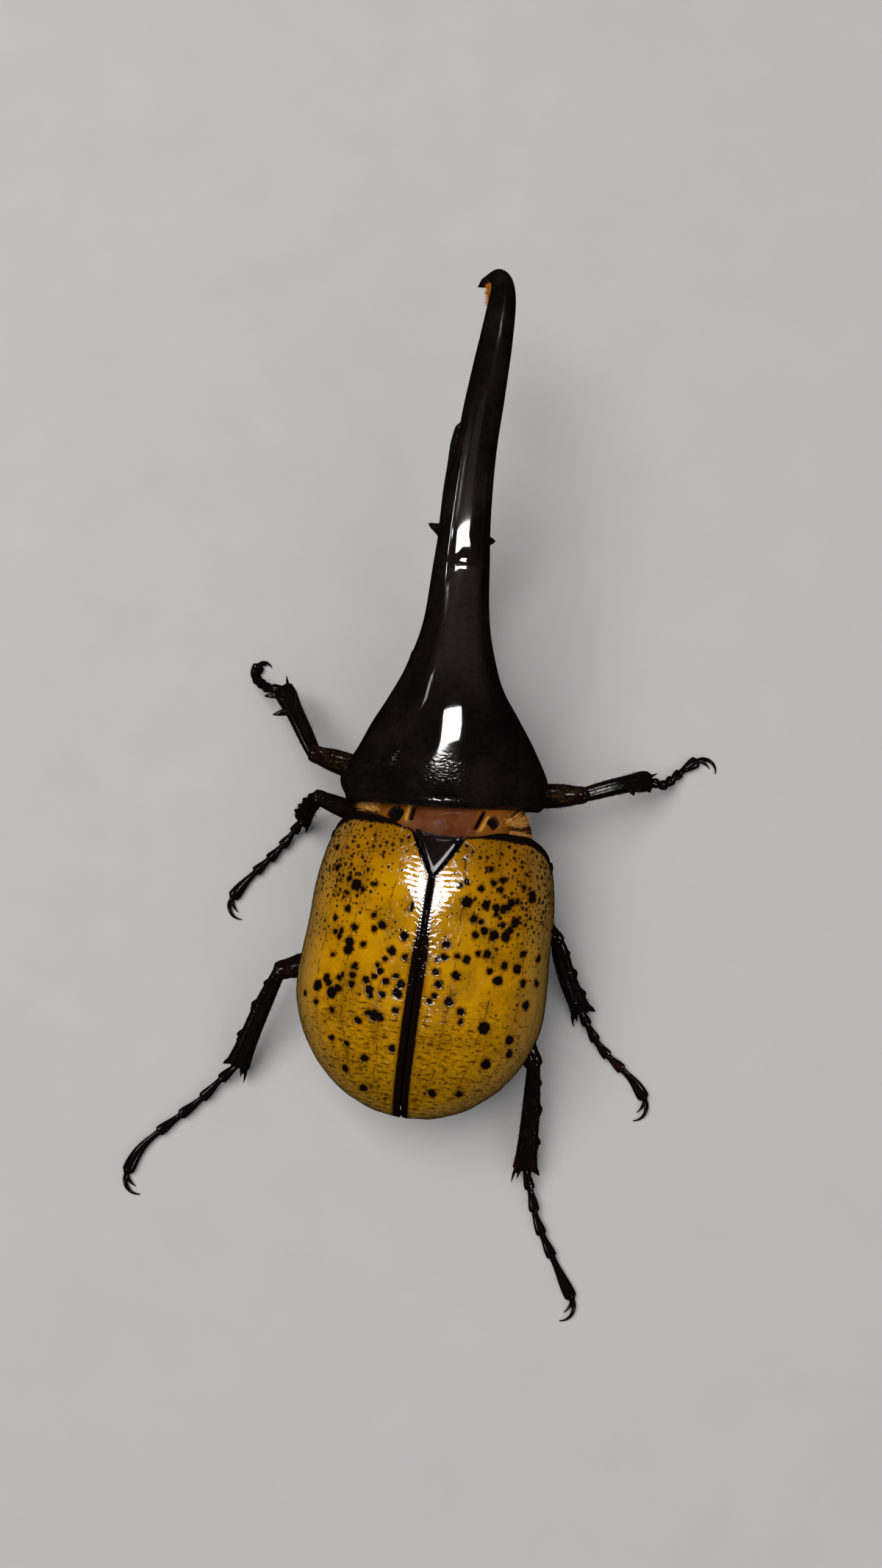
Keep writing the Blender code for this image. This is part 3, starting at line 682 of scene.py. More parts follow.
def combs(from_seam, behind, side):
    """Fine cross wrinkles beside the seam, strong in front and faint at the rear."""
    wobble = 0.9 * np.sin(0.55 * behind + side) + 0.9 * np.sin(1.1 * from_seam + 0.3 * behind)
    wrinkles = np.sin(2 * math.pi * behind / COMB_PITCH + wobble) * bead(from_seam, 2.5, 1.9)
    front = soft_step(behind, 2.5, 6.0) * soft_step(behind, 27.0, 17.0)
    rear = 0.35 * soft_step(behind, 22.0, 30.0)
    wrinkles = COMB_HEIGHT * wrinkles * (front + rear)
    return wrinkles * (0.55 + 0.45 * soft_step(behind, 10.5, 15.0))


def case_relief(from_seam, behind, from_rim, from_front, side):
    """Height of the fine shape of a wing case over its plain curve, in millimetres."""
    seam = SEAM_HEIGHT * soft_step(from_seam, 1.4, 0.3) * soft_step(behind, 26.0, 16.0)
    rim = RIM_HEIGHT * soft_step(from_rim, 0.9, 0.3) - 0.14 * bead(from_rim, 1.25, 0.35)
    front = FRONT_HEIGHT * soft_step(from_front, 1.3, 0.5) - 0.08 * bead(from_front, 1.6, 0.3)
    front = front * soft_step(from_seam, 5.0, 8.0)
    hills = sum(height * bead(from_seam, across, width) * bead(behind, back, length)
                for height, across, width, back, length in BOSSES)
    shoulder = 4.6 - 2.6 * soft_step(behind, 8.0, 15.0)
    roll = soft_step(from_seam - shoulder, 0.0, 9.0) * soft_step(behind, 34.0, 20.0)
    swell = 0.05 * waves(7, 5, 0.55 * from_seam, 0.45 * behind)
    fine = 0.012 * waves(9, 8, 3.0 * from_seam, 2.2 * behind)
    calm = soft_step(from_seam, 0.9, 1.5)
    uneven = (swell + fine + combs(from_seam, behind, side)) * calm
    return seam + rim + front + hills - ROLL_DEPTH * roll + uneven


print("relief from", -ROLL_DEPTH, "to", BOSSES[0][0], "mm")

# %% [markdown]
# ## Finish of the wing cases
#
# The colour is ochre under clear lacquer, brown at the front corners and deeper there on the right case as
# painted shade, olive at the rear, and grey on the flanks as a painted reflection. Black spots lie on it:
# about sixty on each case that can be told apart, and a scatter of small ones. The larger ones are a list
# of places, read off one by one, because their pattern is what makes this beetle this one. The small ones
# need only the right crowd and size.

# %% Colours and spots of the wing cases
OCHRE, DEEP_OCHRE = (0.640, 0.295, 0.001, 1.0), (0.480, 0.200, 0.001, 1.0)
# The grey of the flanks is a painted reflection.
OLIVE, FLANK_REFLECTION = (0.290, 0.150, 0.003, 1.0), (0.300, 0.175, 0.038, 1.0)
SPOT_BLACK, SPOT_BROWN = (0.006, 0.003, 0.002, 1.0), (0.055, 0.016, 0.002, 1.0)
FRONT_BROWN = (0.230, 0.080, 0.002, 1.0)
SPOT_SCALE, SPOT_MERGING, FAR_AWAY = 1.15, 0.12, 9.0
# Larger spots of each case: from the seam, behind the front, and radius, in millimetres.
LEFT_SPOTS = [
    (18.8, 6.5, 0.41), (17.5, 9.8, 0.49), (14.3, 11.1, 0.43), (9.2, 11.4, 0.36), (12.7, 12.0, 0.82),
    (11.4, 12.6, 0.36), (14.2, 13.6, 0.36), (2.4, 14.2, 0.36), (13.5, 16.1, 0.50), (8.5, 16.4, 0.36),
    (6.7, 17.7, 0.62), (16.0, 18.0, 0.42), (8.0, 18.6, 0.39), (2.8, 18.9, 0.59), (11.7, 18.9, 0.49),
    (14.2, 19.9, 0.39), (15.4, 20.2, 0.39), (14.4, 20.8, 0.43), (12.2, 21.4, 0.66), (9.6, 21.4, 0.43),
    (4.4, 21.6, 0.62), (2.1, 22.2, 0.39), (12.2, 22.6, 0.74), (5.3, 23.0, 0.39), (15.0, 24.0, 0.36),
    (6.4, 24.2, 0.36), (5.9, 25.0, 0.47), (10.5, 25.1, 0.45), (3.1, 25.4, 0.39), (6.7, 26.0, 0.39),
    (10.5, 26.6, 0.45), (4.7, 26.6, 0.47), (2.1, 26.6, 0.61), (12.4, 26.9, 0.36), (8.0, 26.9, 0.50),
    (12.8, 27.4, 0.39), (2.5, 28.0, 0.68), (15.4, 28.0, 0.57), (10.5, 28.0, 0.47), (7.2, 28.3, 0.63),
    (14.7, 28.6, 0.47), (5.0, 28.7, 0.47), (6.9, 29.2, 0.39), (12.8, 29.2, 0.57), (17.0, 29.5, 0.75),
    (13.8, 30.0, 0.82), (2.4, 30.8, 0.47), (19.9, 31.3, 0.39), (6.8, 32.0, 0.50), (16.7, 32.2, 0.39),
    (5.7, 32.3, 0.75), (4.8, 32.4, 0.64), (13.2, 32.8, 0.39), (8.4, 33.6, 0.50), (2.2, 37.1, 0.54),
    (12.8, 37.4, 0.43), (9.9, 37.8, 0.43), (6.5, 39.7, 0.54), (9.6, 42.0, 0.50), (6.3, 44.9, 0.57),
]
RIGHT_SPOTS = [
    (9.4, 6.2, 0.39), (11.7, 7.7, 0.43), (10.2, 8.3, 0.44), (15.8, 8.3, 0.39), (5.7, 8.8, 0.43),
    (11.6, 9.2, 0.39), (17.8, 9.3, 0.57), (4.6, 9.4, 0.43), (8.1, 9.5, 0.39), (17.8, 9.9, 0.66),
    (14.9, 10.8, 0.46), (13.9, 11.1, 0.57), (6.1, 12.0, 0.74), (9.4, 12.0, 0.56), (13.3, 12.0, 0.53),
    (11.3, 12.3, 0.57), (12.5, 12.3, 0.57), (11.4, 13.3, 0.36), (15.3, 13.9, 0.41), (7.7, 14.5, 0.53),
    (14.9, 14.5, 0.57), (9.0, 14.8, 0.36), (12.8, 14.8, 0.43), (14.3, 15.5, 0.53), (9.8, 16.1, 0.54),
    (11.5, 16.7, 0.74), (13.7, 16.7, 0.69), (8.3, 17.0, 0.46), (3.8, 19.2, 0.56), (17.6, 19.2, 0.50),
    (21.7, 19.8, 0.54), (9.3, 19.9, 0.39), (10.8, 19.9, 0.57), (5.9, 20.8, 0.39), (7.5, 21.1, 0.57),
    (3.8, 21.2, 0.47), (14.2, 21.4, 0.47), (2.8, 21.7, 0.39), (16.8, 21.7, 0.68), (11.7, 22.6, 0.43),
    (2.8, 23.7, 0.47), (6.1, 23.9, 0.61), (13.3, 23.9, 0.68), (18.3, 23.9, 0.54), (22.0, 23.9, 0.50),
    (3.5, 25.7, 0.58), (19.4, 27.5, 0.64), (3.1, 27.6, 0.36), (5.6, 28.1, 0.61), (2.5, 28.5, 0.43),
    (7.7, 29.5, 0.54), (7.9, 31.1, 0.40), (11.9, 31.7, 0.86), (16.7, 33.3, 0.63), (17.3, 35.7, 0.54),
    (13.1, 37.6, 0.75), (9.3, 43.1, 0.54), (4.9, 43.7, 0.61),
]
print("spots read off:", len(LEFT_SPOTS), "and", len(RIGHT_SPOTS))

# %% [markdown]
# ## Marks of the wing cases
#
# All of the marks follow the edges of the shell, so they are worked out from the distances that
# two maps carry: from the seam and behind the front of the pair, and from the rim and the front
# edge. A class of its own keeps these together with the noises that the masks share, and each kind
# of mark is a method. A spot is a distance to a point: the smallest of all the distances,
# roughened with noise, makes one mask for all of them.

# %% Masks of spots, cracks and bands
RIB_SHARES = (0.20, 0.42, 0.62, 0.80)


class CaseFinish(Finish):
    """Finish of a wing case, with the distances and noises that its masks share."""

    def __init__(self, name):
        super().__init__(name)
        self.shell = self.node("UVMap", {"uv_map": "shell"}, {})
        self.from_seam, self.behind = self.split(self.shell)
        self.from_rim, self.from_front = self.map("edges")
        self.ragged = self.noise(0.7, 3.0) - 0.5
        self.cloud = self.noise(6.0, 3.0)
        self.fine = self.noise(1.6, 4.0)
        self.front_half = self.step(self.behind, 27.0, 9.0)
        self.rear_half = self.step(self.behind, 20.0, 40.0)
        self.outer_front = self.step(self.from_seam, 7.0, 16.0) * self.front_half

    def strongest(self, masks):
        """The largest of several masks at each point."""
        largest = masks[0]
        for mask in masks[1:]:
            largest = self.math("MAXIMUM", largest, mask)
        return largest

    def spots(self, places):
        """Masks of the larger spots and of the brown haze round them."""
        nearest = FAR_AWAY
        for across, back, radius in places:
            inputs = {0: self.shell, 1: (across, back, 0.0)}
            away = self.node("VectorMath", {"operation": "DISTANCE"}, inputs, "Value")
            nearest = self.math("SMOOTH_MIN", nearest, away - radius * SPOT_SCALE, SPOT_MERGING)
        black = self.step(nearest + self.ragged * 0.9, 0.08, -0.06)
        return black, self.step(nearest + self.ragged * 1.2, 0.6, 0.0)

    def specks(self, crowd, pitch, largest):
        """Mask of a scatter of small round specks, more and larger where crowd is high."""
        settings = {"voronoi_dimensions": "2D", "feature": "F1"}
        inputs = {"Vector": self.shell, "Scale": 1 / pitch, "Randomness": 1.0}
        away = self.node("TexVoronoi", settings, inputs, "Distance") * pitch
        chance = self.split(self.node("TexVoronoi", settings, inputs, "Color"))[0]
        radius = self.step(chance + crowd, 0.95, 1.5) * largest
        return self.step(away - radius + self.ragged * 0.08, 0.03, -0.03)

    def cracks(self):
        """Masks of the long cracks between the ribs and of the haze along them."""
        wander = (self.noise(5.0, 2.0) - 0.5) * 0.10 + (self.fine - 0.5) * 0.02
        share = self.from_seam / (self.from_seam + self.from_rim + 0.01) + wander
        rib = 1.0
        for middle in RIB_SHARES:
            rib = self.math("MINIMUM", rib, self.math("ABSOLUTE", share - middle))
        crack = self.step(rib + self.ragged * 0.004, 0.006, 0.001)
        haze = self.step(rib + self.ragged * 0.02, 0.045, 0.0) * self.step(self.cloud, 0.35, 0.60)
        return crack * self.step(self.noise(2.4, 3.0), 0.42, 0.56), haze

    def lines(self, noise, width):
        """Mask of thin winding lines, where a noise crosses its middle value."""
        return self.step(self.math("ABSOLUTE", noise - 0.5), width, 0.0)

    def bands(self):
        """Masks of the black bands at seam, front and rim, and of the brown along them."""
        half = 0.55 + self.step(self.behind, 10.0, 24.0) * 0.60 + self.ragged * 0.30
        past_seam = self.from_seam - half
        front = 0.42 + self.step(self.from_seam, 6.0, 12.0) * 0.95 + self.ragged * 0.6
        black = [self.step(past_seam, 0.10, -0.10),
                 self.step(self.from_front - front, 0.20, -0.20),
                 self.step(self.from_rim + self.ragged * 0.3, 0.70, 0.50)]
        brown = [self.step(past_seam, 0.8, 0.0) * 0.6,
                 self.step(self.from_rim + self.ragged, 2.2, 0.5) * 0.6]
        return black, brown

    def ground(self, corner_brown_and_shade):
        """The colour under the marks: ochre, with each share of another tone mixed over it, among them a
        painted reflection on the flanks and painted shade on the front corner.
        """
        cloud, fine = self.cloud, self.fine
        corner = self.step(self.from_seam + cloud * 6.0, 6.0, 15.0) * self.step(self.behind, 20.0, 6.0)
        shades = (
            (self.step(self.behind, 28.0, 47.0) * 0.7, OLIVE),
            (self.outer_front * fine * 0.8, FRONT_BROWN),
            # The front corner: brown, and on the right case deeper as painted shade.
            (corner * corner_brown_and_shade, FRONT_BROWN),
            (self.step(self.behind, 11.0, 2.0) * (0.3 + cloud * 0.6), FRONT_BROWN),
            (self.step(cloud, 0.50, 0.66) * 0.45, OLIVE),
            # Painted reflection: grey along the flanks.
            (self.step(self.from_rim + fine * 3.0, 14.5, 6.0) * 0.9, FLANK_REFLECTION),
        )
        colour = self.mix(self.step(cloud * 0.7 + fine * 0.3, 0.35, 0.68), OCHRE, DEEP_OCHRE)
        for share, shade in shades:
            colour = self.mix(share, colour, shade)
        return colour


print("marks of the wing cases ready")

# %% [markdown]
# ## Ochre shell
#
# Now the masks are laid over each other: brown haze and crackle first, then black spots and bands,
# as pigment lies deeper or shallower in the real shell. The same masks make the bump, so cracks and
# worm-like wrinkles catch the light just where they are dark.

# %% Ochre wing case finish
STITCHES = 2 * math.pi / 0.55
WORMS_ACROSS, WORMS_BACK = 0.42, 1.25


def ochre_case(name, places, corner_brown_and_shade):
    """Ochre shell with spots at the given places. The last number says how dark its front corner is: brown
    on both cases, deeper on the right one as painted shade.
    """
    finish = CaseFinish(name)
    behind, fine = finish.behind, finish.fine
    crowd = finish.outer_front * 0.46 + finish.step(finish.cloud, 0.35, 0.65) * 0.36
    crowd = crowd + finish.front_half * 0.30
    spots, spot_haze = finish.spots(places)
    specks, dots = finish.specks(crowd, 1.25, 0.36), finish.specks(crowd + 0.12, 0.85, 0.20)
    cracks, crack_haze = finish.cracks()
    folds = finish.lines(finish.noise(2.6, 5.0), 0.018)
    web = finish.lines(fine, 0.035) * finish.rear_half
    rear = finish.rear_half * (1.0 - finish.step(finish.from_seam, 9.0, 17.0) * 0.55)
    drawn_out = finish.stretched(finish.shell, (WORMS_ACROSS * MM, WORMS_BACK * MM, 0.0))
    worms = finish.noise(0.62, 3.0, at=drawn_out)
    dashes = finish.step(worms, 0.58 - rear * 0.10, 0.66) * finish.step(rear + finish.cloud, 0.60, 1.0)
    bands, band_haze = finish.bands()
    brown = finish.strongest([dots * 0.85, spot_haze * 0.75, dashes * 0.85, web * 0.6, cracks * 0.9,
                              crack_haze * 0.22, folds * 0.28] + band_haze)
    black = finish.strongest([spots, specks * 0.9] + bands)
    colour = finish.mix(brown, finish.ground(corner_brown_and_shade), SPOT_BROWN)
    colour = finish.mix(black, colour, SPOT_BLACK)
    stitches = finish.math("SINE", behind * STITCHES) * finish.step(finish.from_seam, 0.9, 0.4)
    stitches = stitches * finish.step(behind, 22.0, 12.0)
    height = worms * (0.20 + rear * 1.5) + fine * (0.5 + rear)
    height = height - dashes * 0.35 - cracks * 0.15 - folds * 0.2
    height = height * (1.0 - black * 0.5) + stitches * 0.30
    return finish.surface(colour, 0.04 + fine * 0.05 * (1.0 - black), height, 0.06)


# The right case's larger last number adds painted shade to its front corner.
case_finishes = {
    1: ochre_case("ochre_case_left", LEFT_SPOTS, 0.15),
    -1: ochre_case("ochre_case_right", RIGHT_SPOTS, 0.50),
}
print("wing case finishes ready")

# %% [markdown]
# ## The two wing cases
#
# The sheet of points gets the thickness of the real shell: a copy of it lies a little further in,
# and a strip joins the two borders. That makes a closed mesh, with the two maps on both of its
# sides. Relief is added to the sheet before, so that it moves the inner side with the outer one.

# %% Make the wing cases


def shell_form(grid, thickness):
    """A sheet of points given a thickness along its normals and closed round its border."""
    form = Form()
    rows, columns = grid.shape[:2]
    outer = form.grid(grid, closed=False)
    inner = form.grid(grid - upward_normals(grid) * thickness, closed=False)
    border = [(0, c) for c in range(columns)] + [(r, columns - 1) for r in range(1, rows)]
    border += [(rows - 1, c) for c in range(columns - 2, -1, -1)]
    border += [(r, 0) for r in range(rows - 2, 0, -1)]
    for start, end in zip(border, border[1:] + border[:1]):
        a, b = start[0] * columns + start[1], end[0] * columns + end[1]
        form.faces.append((outer + a, outer + b, inner + b, inner + a))
    return form


def add_map(made, name, values):
    """A map on a piece from one pair of numbers per point."""
    layer = made.data.uv_layers.new(name=name)
    corners = np.zeros(len(made.data.loops), int)
    made.data.loops.foreach_get("vertex_index", corners)
    layer.data.foreach_set("uv", values[corners].astype(np.float32).ravel())


def wing_case(word, side):
    """One wing case with its relief, its two maps and its finish."""
    grid, from_seam, behind, from_rim, from_front = case_grid(side)
    relief = case_relief(from_seam, behind, from_rim, from_front, side)
    grid = grid + upward_normals(grid) * relief[..., None]
    grid[:, 0, 0] = side * GAP / 2
    made = piece(f"wing_case_shell_{word}", shell_form(grid, CASE_THICKNESS), case_finishes[side],
                 "olive_case", f"wing_case_{word}", place=HIND)
    for name, pair in (("shell", (from_seam, behind)), ("edges", (from_rim, from_front))):
        add_map(made, name, np.tile(np.stack(pair, -1).reshape(-1, 2), (2, 1)))


for word, side in (("left", 1), ("right", -1)):
    wing_case(word, side)

# %% [markdown]
# ## Shield
#
# The shield is the small black triangle at the front of the seam: low in front, then a polished
# cushion that narrows to a point between the wing cases. It could be a flat plate with a bevel, but
# its highlight shows a curve, so it is made of rings that shrink and rise to its middle.

# %% Shield
SHIELD_RIDGE, SHIELD_STEP = 2.9, 0.45
SHIELD_MIDDLE, SHIELD_TOP = (0.0, 4.2), 0.22
SHIELD_ROWS, SHIELD_SIDES = 60, 144
# From the root to the top: size of the ring as a share of the outline, and its height.
SHIELD_PROFILE = ((0.96, -1.3), (1.0, -0.7), (1.0, -0.4), (0.98, -0.22), (0.93, -0.10),
                  (0.84, -0.02), (0.70, 0.06), (0.52, 0.13), (0.35, 0.18), (0.18, 0.21))


def shield():
    """A triangular plate with rounded corners: rings that shrink towards the middle as they rise."""
    crest = CASE_CREST * float(case_height(np.array(0.08)))
    half, tip = SHIELD_HALF_WIDTH, SHIELD_TIP
    corners = [(-half, 1.7), (-1.6, 2.0), (1.6, 2.0), (half, 1.7), (half * 0.60, 4.8), (0.25, tip),
               (-0.25, tip), (-half * 0.60, 4.8)]
    edge = through(corners + corners[:1], SHIELD_SIDES + 1)[:-1]
    middle = np.array(SHIELD_MIDDLE)
    rings = []
    for grow, lift in through(SHIELD_PROFILE, SHIELD_ROWS):
        flat = middle + (edge - middle) * grow
        ridge = SHIELD_RIDGE + 0.2 * np.cos(1.3 * flat[:, 0]) - 0.1 * flat[:, 0]
        drop = SHIELD_STEP * soft_step(flat[:, 1], ridge, ridge - 0.5)
        rings.append(np.column_stack([flat, crest + lift - 0.018 * flat[:, 0] ** 2 - drop]))
    form = Form().tube(np.array(rings), end=(*middle, crest + SHIELD_TOP))
    piece("shield_plate", form, horn_finish, "black_shell", "shield", place=HIND)


shield()

# %% [markdown]
# ## Collar
#
# In the gap before the shield lies the collar, a smooth plate that lets the fore body turn. On either side
# it has a pit, a slit and a pale fold, and the pit and slit are darkened with painted shade. All are small
# heights on a short tube, and a map carries them to the finish, so that the colours sit exactly where the
# shape is.

# %% Collar
# Rows from front to rear: behind, half width, height of the top and of the underside.
COLLAR = [(3.0, 15.6, 8.9, -6.8), (0.4, 15.0, 8.5, -7.4), (-2.0, 14.2, 7.6, -7.6),
          (-5.5, 12.2, 5.6, -7.0), (-7.0, 11.0, 4.4, -6.4)]
COLLAR_ROWS, COLLAR_SIDES = 110, 440
PITS = ((-8.5, -1.1), (7.9, -0.5))
PIT_DEPTH, FOLD_HEIGHT, COLLAR_BOW = 0.9, 0.30, 0.4
# Slits: middle sideways and behind, half length, and how far its rear end leans outwards.
SLITS = ((-6.1, -1.4, 1.6, 0.5), (5.1, -0.9, 1.1, 0.1))
FOLDS = ((-6.9, -0.8, 1.4, 0.5), (5.9, -0.9, 1.4, 0.1))


def streak(grid, middle, behind, half, lean, width):
    """1 along a short streak over a grid, fading across its width and at its ends."""
    along = (grid[..., 1] - behind) / half
    across = grid[..., 0] - middle - lean * along
    return bead(across, 0.0, width) * soft_step(np.abs(along), 1.25, 0.75)


def collar():
    """The neck plate: a short tube with pits, slits and folds at both sides of its top."""
    rows = through(COLLAR, COLLAR_ROWS)
    centres = np.column_stack([np.zeros(len(rows)), rows[:, 0], np.zeros(len(rows))])
    grid = swept(centres, rows[:, 1], rows[:, 2], -rows[:, 3], COLLAR_SIDES, AHEAD, upper=2.6)
    top = grid[..., 2] > 0
    frayed = 0.3 * waves(6, 4, 1.4 * grid[..., 0], 1.4 * grid[..., 1])
    away = [np.hypot(grid[..., 0] - x, 0.8 * (grid[..., 1] - y)) + frayed for x, y in PITS]
    pit = sum(soft_step(distance, 1.35, 0.35) for distance in away)
    pit = (pit + sum(streak(grid, *slit, 0.26) for slit in SLITS)) * top
    fold = sum(streak(grid, *fold, 0.36) for fold in FOLDS) * top
    relief = 0.05 * waves(8, 3, grid[..., 0] * 0.8, grid[..., 1] * 0.9)
    relief = relief - PIT_DEPTH * pit + FOLD_HEIGHT * fold
    relief = relief + COLLAR_BOW * top * bead(grid[..., 0], 0.0, 4.2)
    form = Form().tube(grid + normals_of(grid) * relief[..., None])
    made = piece("collar_plate", form, collar_finish, "brown_neck", "neck_collar", place=HIND)
    ends = np.zeros((2, 2))
    add_map(made, "flat", np.vstack([grid[..., :2].reshape(-1, 2), ends]))
    add_map(made, "hollow", np.vstack([np.stack([pit, fold], -1).reshape(-1, 2), ends]))
    return placed(grid, HIND)


collar_grid = collar()

# %% [markdown]
# ## Fore body and great horn
#
# The pronotum, the shield of the fore body, is drawn out into the great horn without a break, so
# both are one skin here. The rows run from the rear edge to the hooked tip: a wide low arch at
# the rear, an almost round horn in front. At the horn's root lie two fine cross creases, and two
# small teeth stand out of its sides.

# %% Fore body and great horn
# Rows: ahead, sideways, height of the widest level, half width, reach up, reach down, twist.
GREAT_SHELL = [
    (0.0, 0.0, 0.0, 16.3, 9.2, 7.0, 0.0),
    (1.2, 0.0, 0.0, 17.2, 9.95, 8.6, 0.0),
    (4.5, 0.2, 0.0, 17.9, 11.75, 9.8, 0.0),
    (9.5, 0.1, 0.6, 15.3, 13.55, 10.8, 0.0),
    (14.5, 0.6, 2.2, 12.3, 14.0, 10.8, 0.0),
    (18.4, 1.1, 5.0, 9.6, 12.5, 8.8, 0.0),
    (22.5, 1.2, 8.3, 7.5, 10.2, 6.5, 0.0),
    (29.0, 1.2, 12.0, 5.5, 7.9, 5.1, 0.0),
    (38.0, 1.2, 15.8, 4.6, 5.1, 5.0, 0.0),
    (47.0, 0.8, 17.3, 3.9, 4.2, 4.2, 2.0),
    (57.0, -0.2, 17.6, 3.4, 3.8, 3.8, 5.0),
    (67.0, -1.6, 16.8, 3.2, 3.5, 3.5, 9.0),
    (78.0, -3.4, 14.6, 2.8, 3.0, 3.0, 14.0),
    (87.5, -4.8, 11.3, 2.3, 2.5, 2.5, 20.0),
    (92.4, -4.6, 8.3, 1.7, 1.9, 1.9, 26.0),
    (93.2, -2.4, 5.4, 0.8, 0.9, 0.9, 30.0),
]
GREAT_TIP = (-1.4, -92.8, 4.4)
# Rings of the turned-in rear edge: how far ahead of it, and size as a share of the first row.
REAR_LIP = [(2.6, 0.84), (1.4, 0.86), (0.3, 0.90), (-0.05, 0.94), (0.0, 0.975)]
CREASES, CREASE_WIDTH, FURROW_DEPTH = ((36.55, 0.16), (37.35, 0.12)), 0.20, 0.45
FACET_START, FACET_END, FACET_DEPTH = 37.8, 41.4, 0.20
REAR_BOW = 1.1
# Side teeth: ahead, ring angle, and the tip's offset from the skin: sideways, ahead and up.
TEETH = ((43.6, 332.0, (2.2, 1.3, -0.6)), (42.8, 212.0, (-2.0, 0.3, -0.5)))
TOOTH_REACH = 1.5
GREAT_ROWS, GREAT_SIDES = 330, 176
UNDERSIDE_FULL = 1.6


def drawn_in(ring, back, share):
    """A copy of a ring drawn in towards its middle and moved ahead: the turned-in rear edge."""
    middle = ring.mean(axis=0)
    return middle + (ring - middle) * share + AHEAD * back


def great_relief(way, angle, grid, half_widths):
    """Creases, ridges, facet and furrow of the great shell, as heights over its plain surface."""
    on_top = soft_step(np.abs(angle - 90), 52.0, 22.0)
    relief = 0.10 * bead(way, 0.7, 0.4) - 0.06 * bead(way, 1.5, 0.4)
    side_bead = bead(angle, 180.0, 4.0) + bead(angle, 0.0, 4.0) + bead(angle, 360.0, 4.0)
    relief = relief + 0.16 * side_bead * soft_step(way, 17.0, 12.0)
    for place, depth in CREASES:
        bow = place + 0.3 * np.sin(np.radians(angle - 90) * 3.0)
        relief = relief - depth * bead(way, bow, CREASE_WIDTH) * on_top
    swelling = soft_step(way, CREASES[1][0], CREASES[1][0] + 1.6) * soft_step(way, 54.0, 42.0)
    relief = relief + 0.12 * swelling * bead(angle, 90.0, 40.0)
    cut = FACET_DEPTH * soft_step(way, FACET_START - 0.3, FACET_START)
    cut = cut * np.clip((FACET_END - way) / (FACET_END - FACET_START), 0.0, 1.0)
    sagitta = half_widths[:, None] * (1 - np.cos(np.radians(angle - 90)))
    relief = relief - np.maximum(cut - sagitta, 0.0) * on_top
    ridge = bead(angle, 52.0, 5.0) + bead(angle, 128.0, 5.0)
    relief = relief + 0.13 * ridge * soft_step(way, 26.0, 40.0) * soft_step(way, 66.0, 50.0)
    furrow = bead(angle, 270.0, 20.0) * soft_step(way, 44.0, 52.0) * soft_step(way, 93.0, 84.0)
    relief = relief - FURROW_DEPTH * furrow
    return relief + 0.02 * waves(8, 11, way * 0.35, grid[..., 0] * 0.5, grid[..., 2] * 0.5)


def drawn_out_teeth(grid, plain, ahead):
    """The side teeth: points of the skin drawn out round a place on the plain surface."""
    for place, at, (out, forward, lift) in TEETH:
        row, column = np.abs(ahead - place).argmin(), int(at / 360 * GREAT_SIDES)
        away = np.linalg.norm(plain - plain[row, column], axis=-1)
        pull = soft_step(away, TOOTH_REACH, 0.0) ** 1.2
        grid = grid + pull[..., None] * np.array([out, -forward, lift])
    return grid


def great_shell():
    """The fore body drawn out into the great horn, as one closed skin."""
    rows = through(GREAT_SHELL, GREAT_ROWS)
    ahead = rows[:, 0]
    centres = np.column_stack([rows[:, 1], -ahead, rows[:, 2]])
    leaning = soft_step(ahead, 34.0, 50.0)[:, None]
    along = unit(heading(centres) * leaning + AHEAD * (1 - leaning))
    upper = 2.1 - 0.1 * soft_step(ahead, 28.0, 38.0)
    lower = UNDERSIDE_FULL + (2.0 - UNDERSIDE_FULL) * np.clip((ahead - 14.0) / 16.0, 0.0, 1.0)
    grid = swept(centres, rows[:, 3], rows[:, 4], rows[:, 5], GREAT_SIDES, along,
                 -rows[:, 6], upper, lower)
    way = ahead[:, None]
    angle = 360 * np.arange(GREAT_SIDES)[None, :] / GREAT_SIDES
    grid[..., 1] += REAR_BOW * bead(angle, 90.0, 62.0) * soft_step(way, 9.0, 0.0)
    relief = great_relief(way, angle, grid, rows[:, 3])
    shaped = drawn_out_teeth(grid + normals_of(grid) * relief[..., None], grid, ahead)
    lip = [drawn_in(shaped[0], back, share) for back, share in REAR_LIP]
    form = Form().tube(np.concatenate([np.array(lip), shaped]), end=GREAT_TIP)
    made = piece("fore_body_and_great_horn", form, horn_finish, "black_shell", "fore_body",
                 "great_horn", place=FRONT)
    from_crest = np.abs((angle + 90) % 360 - 180)
    skin = np.stack(np.broadcast_arrays(way, from_crest), -1)
    skin = np.concatenate([np.repeat(skin[:1], len(lip), axis=0), skin]).reshape(-1, 2)
    add_map(made, "skin", np.vstack([skin, skin[0], skin[-1]]))
    return placed(shaped, FRONT)


great_grid = great_shell()

# %% [markdown]
# ## Head and lower horn
#
# The head carries a horn of its own, which curves up under the great one and works against it
# like the lower jaw of a pair of tongs. Head and horn are one skin again, made as the great one
# was, with bars over the eyes and two teeth on the horn's upper edge.

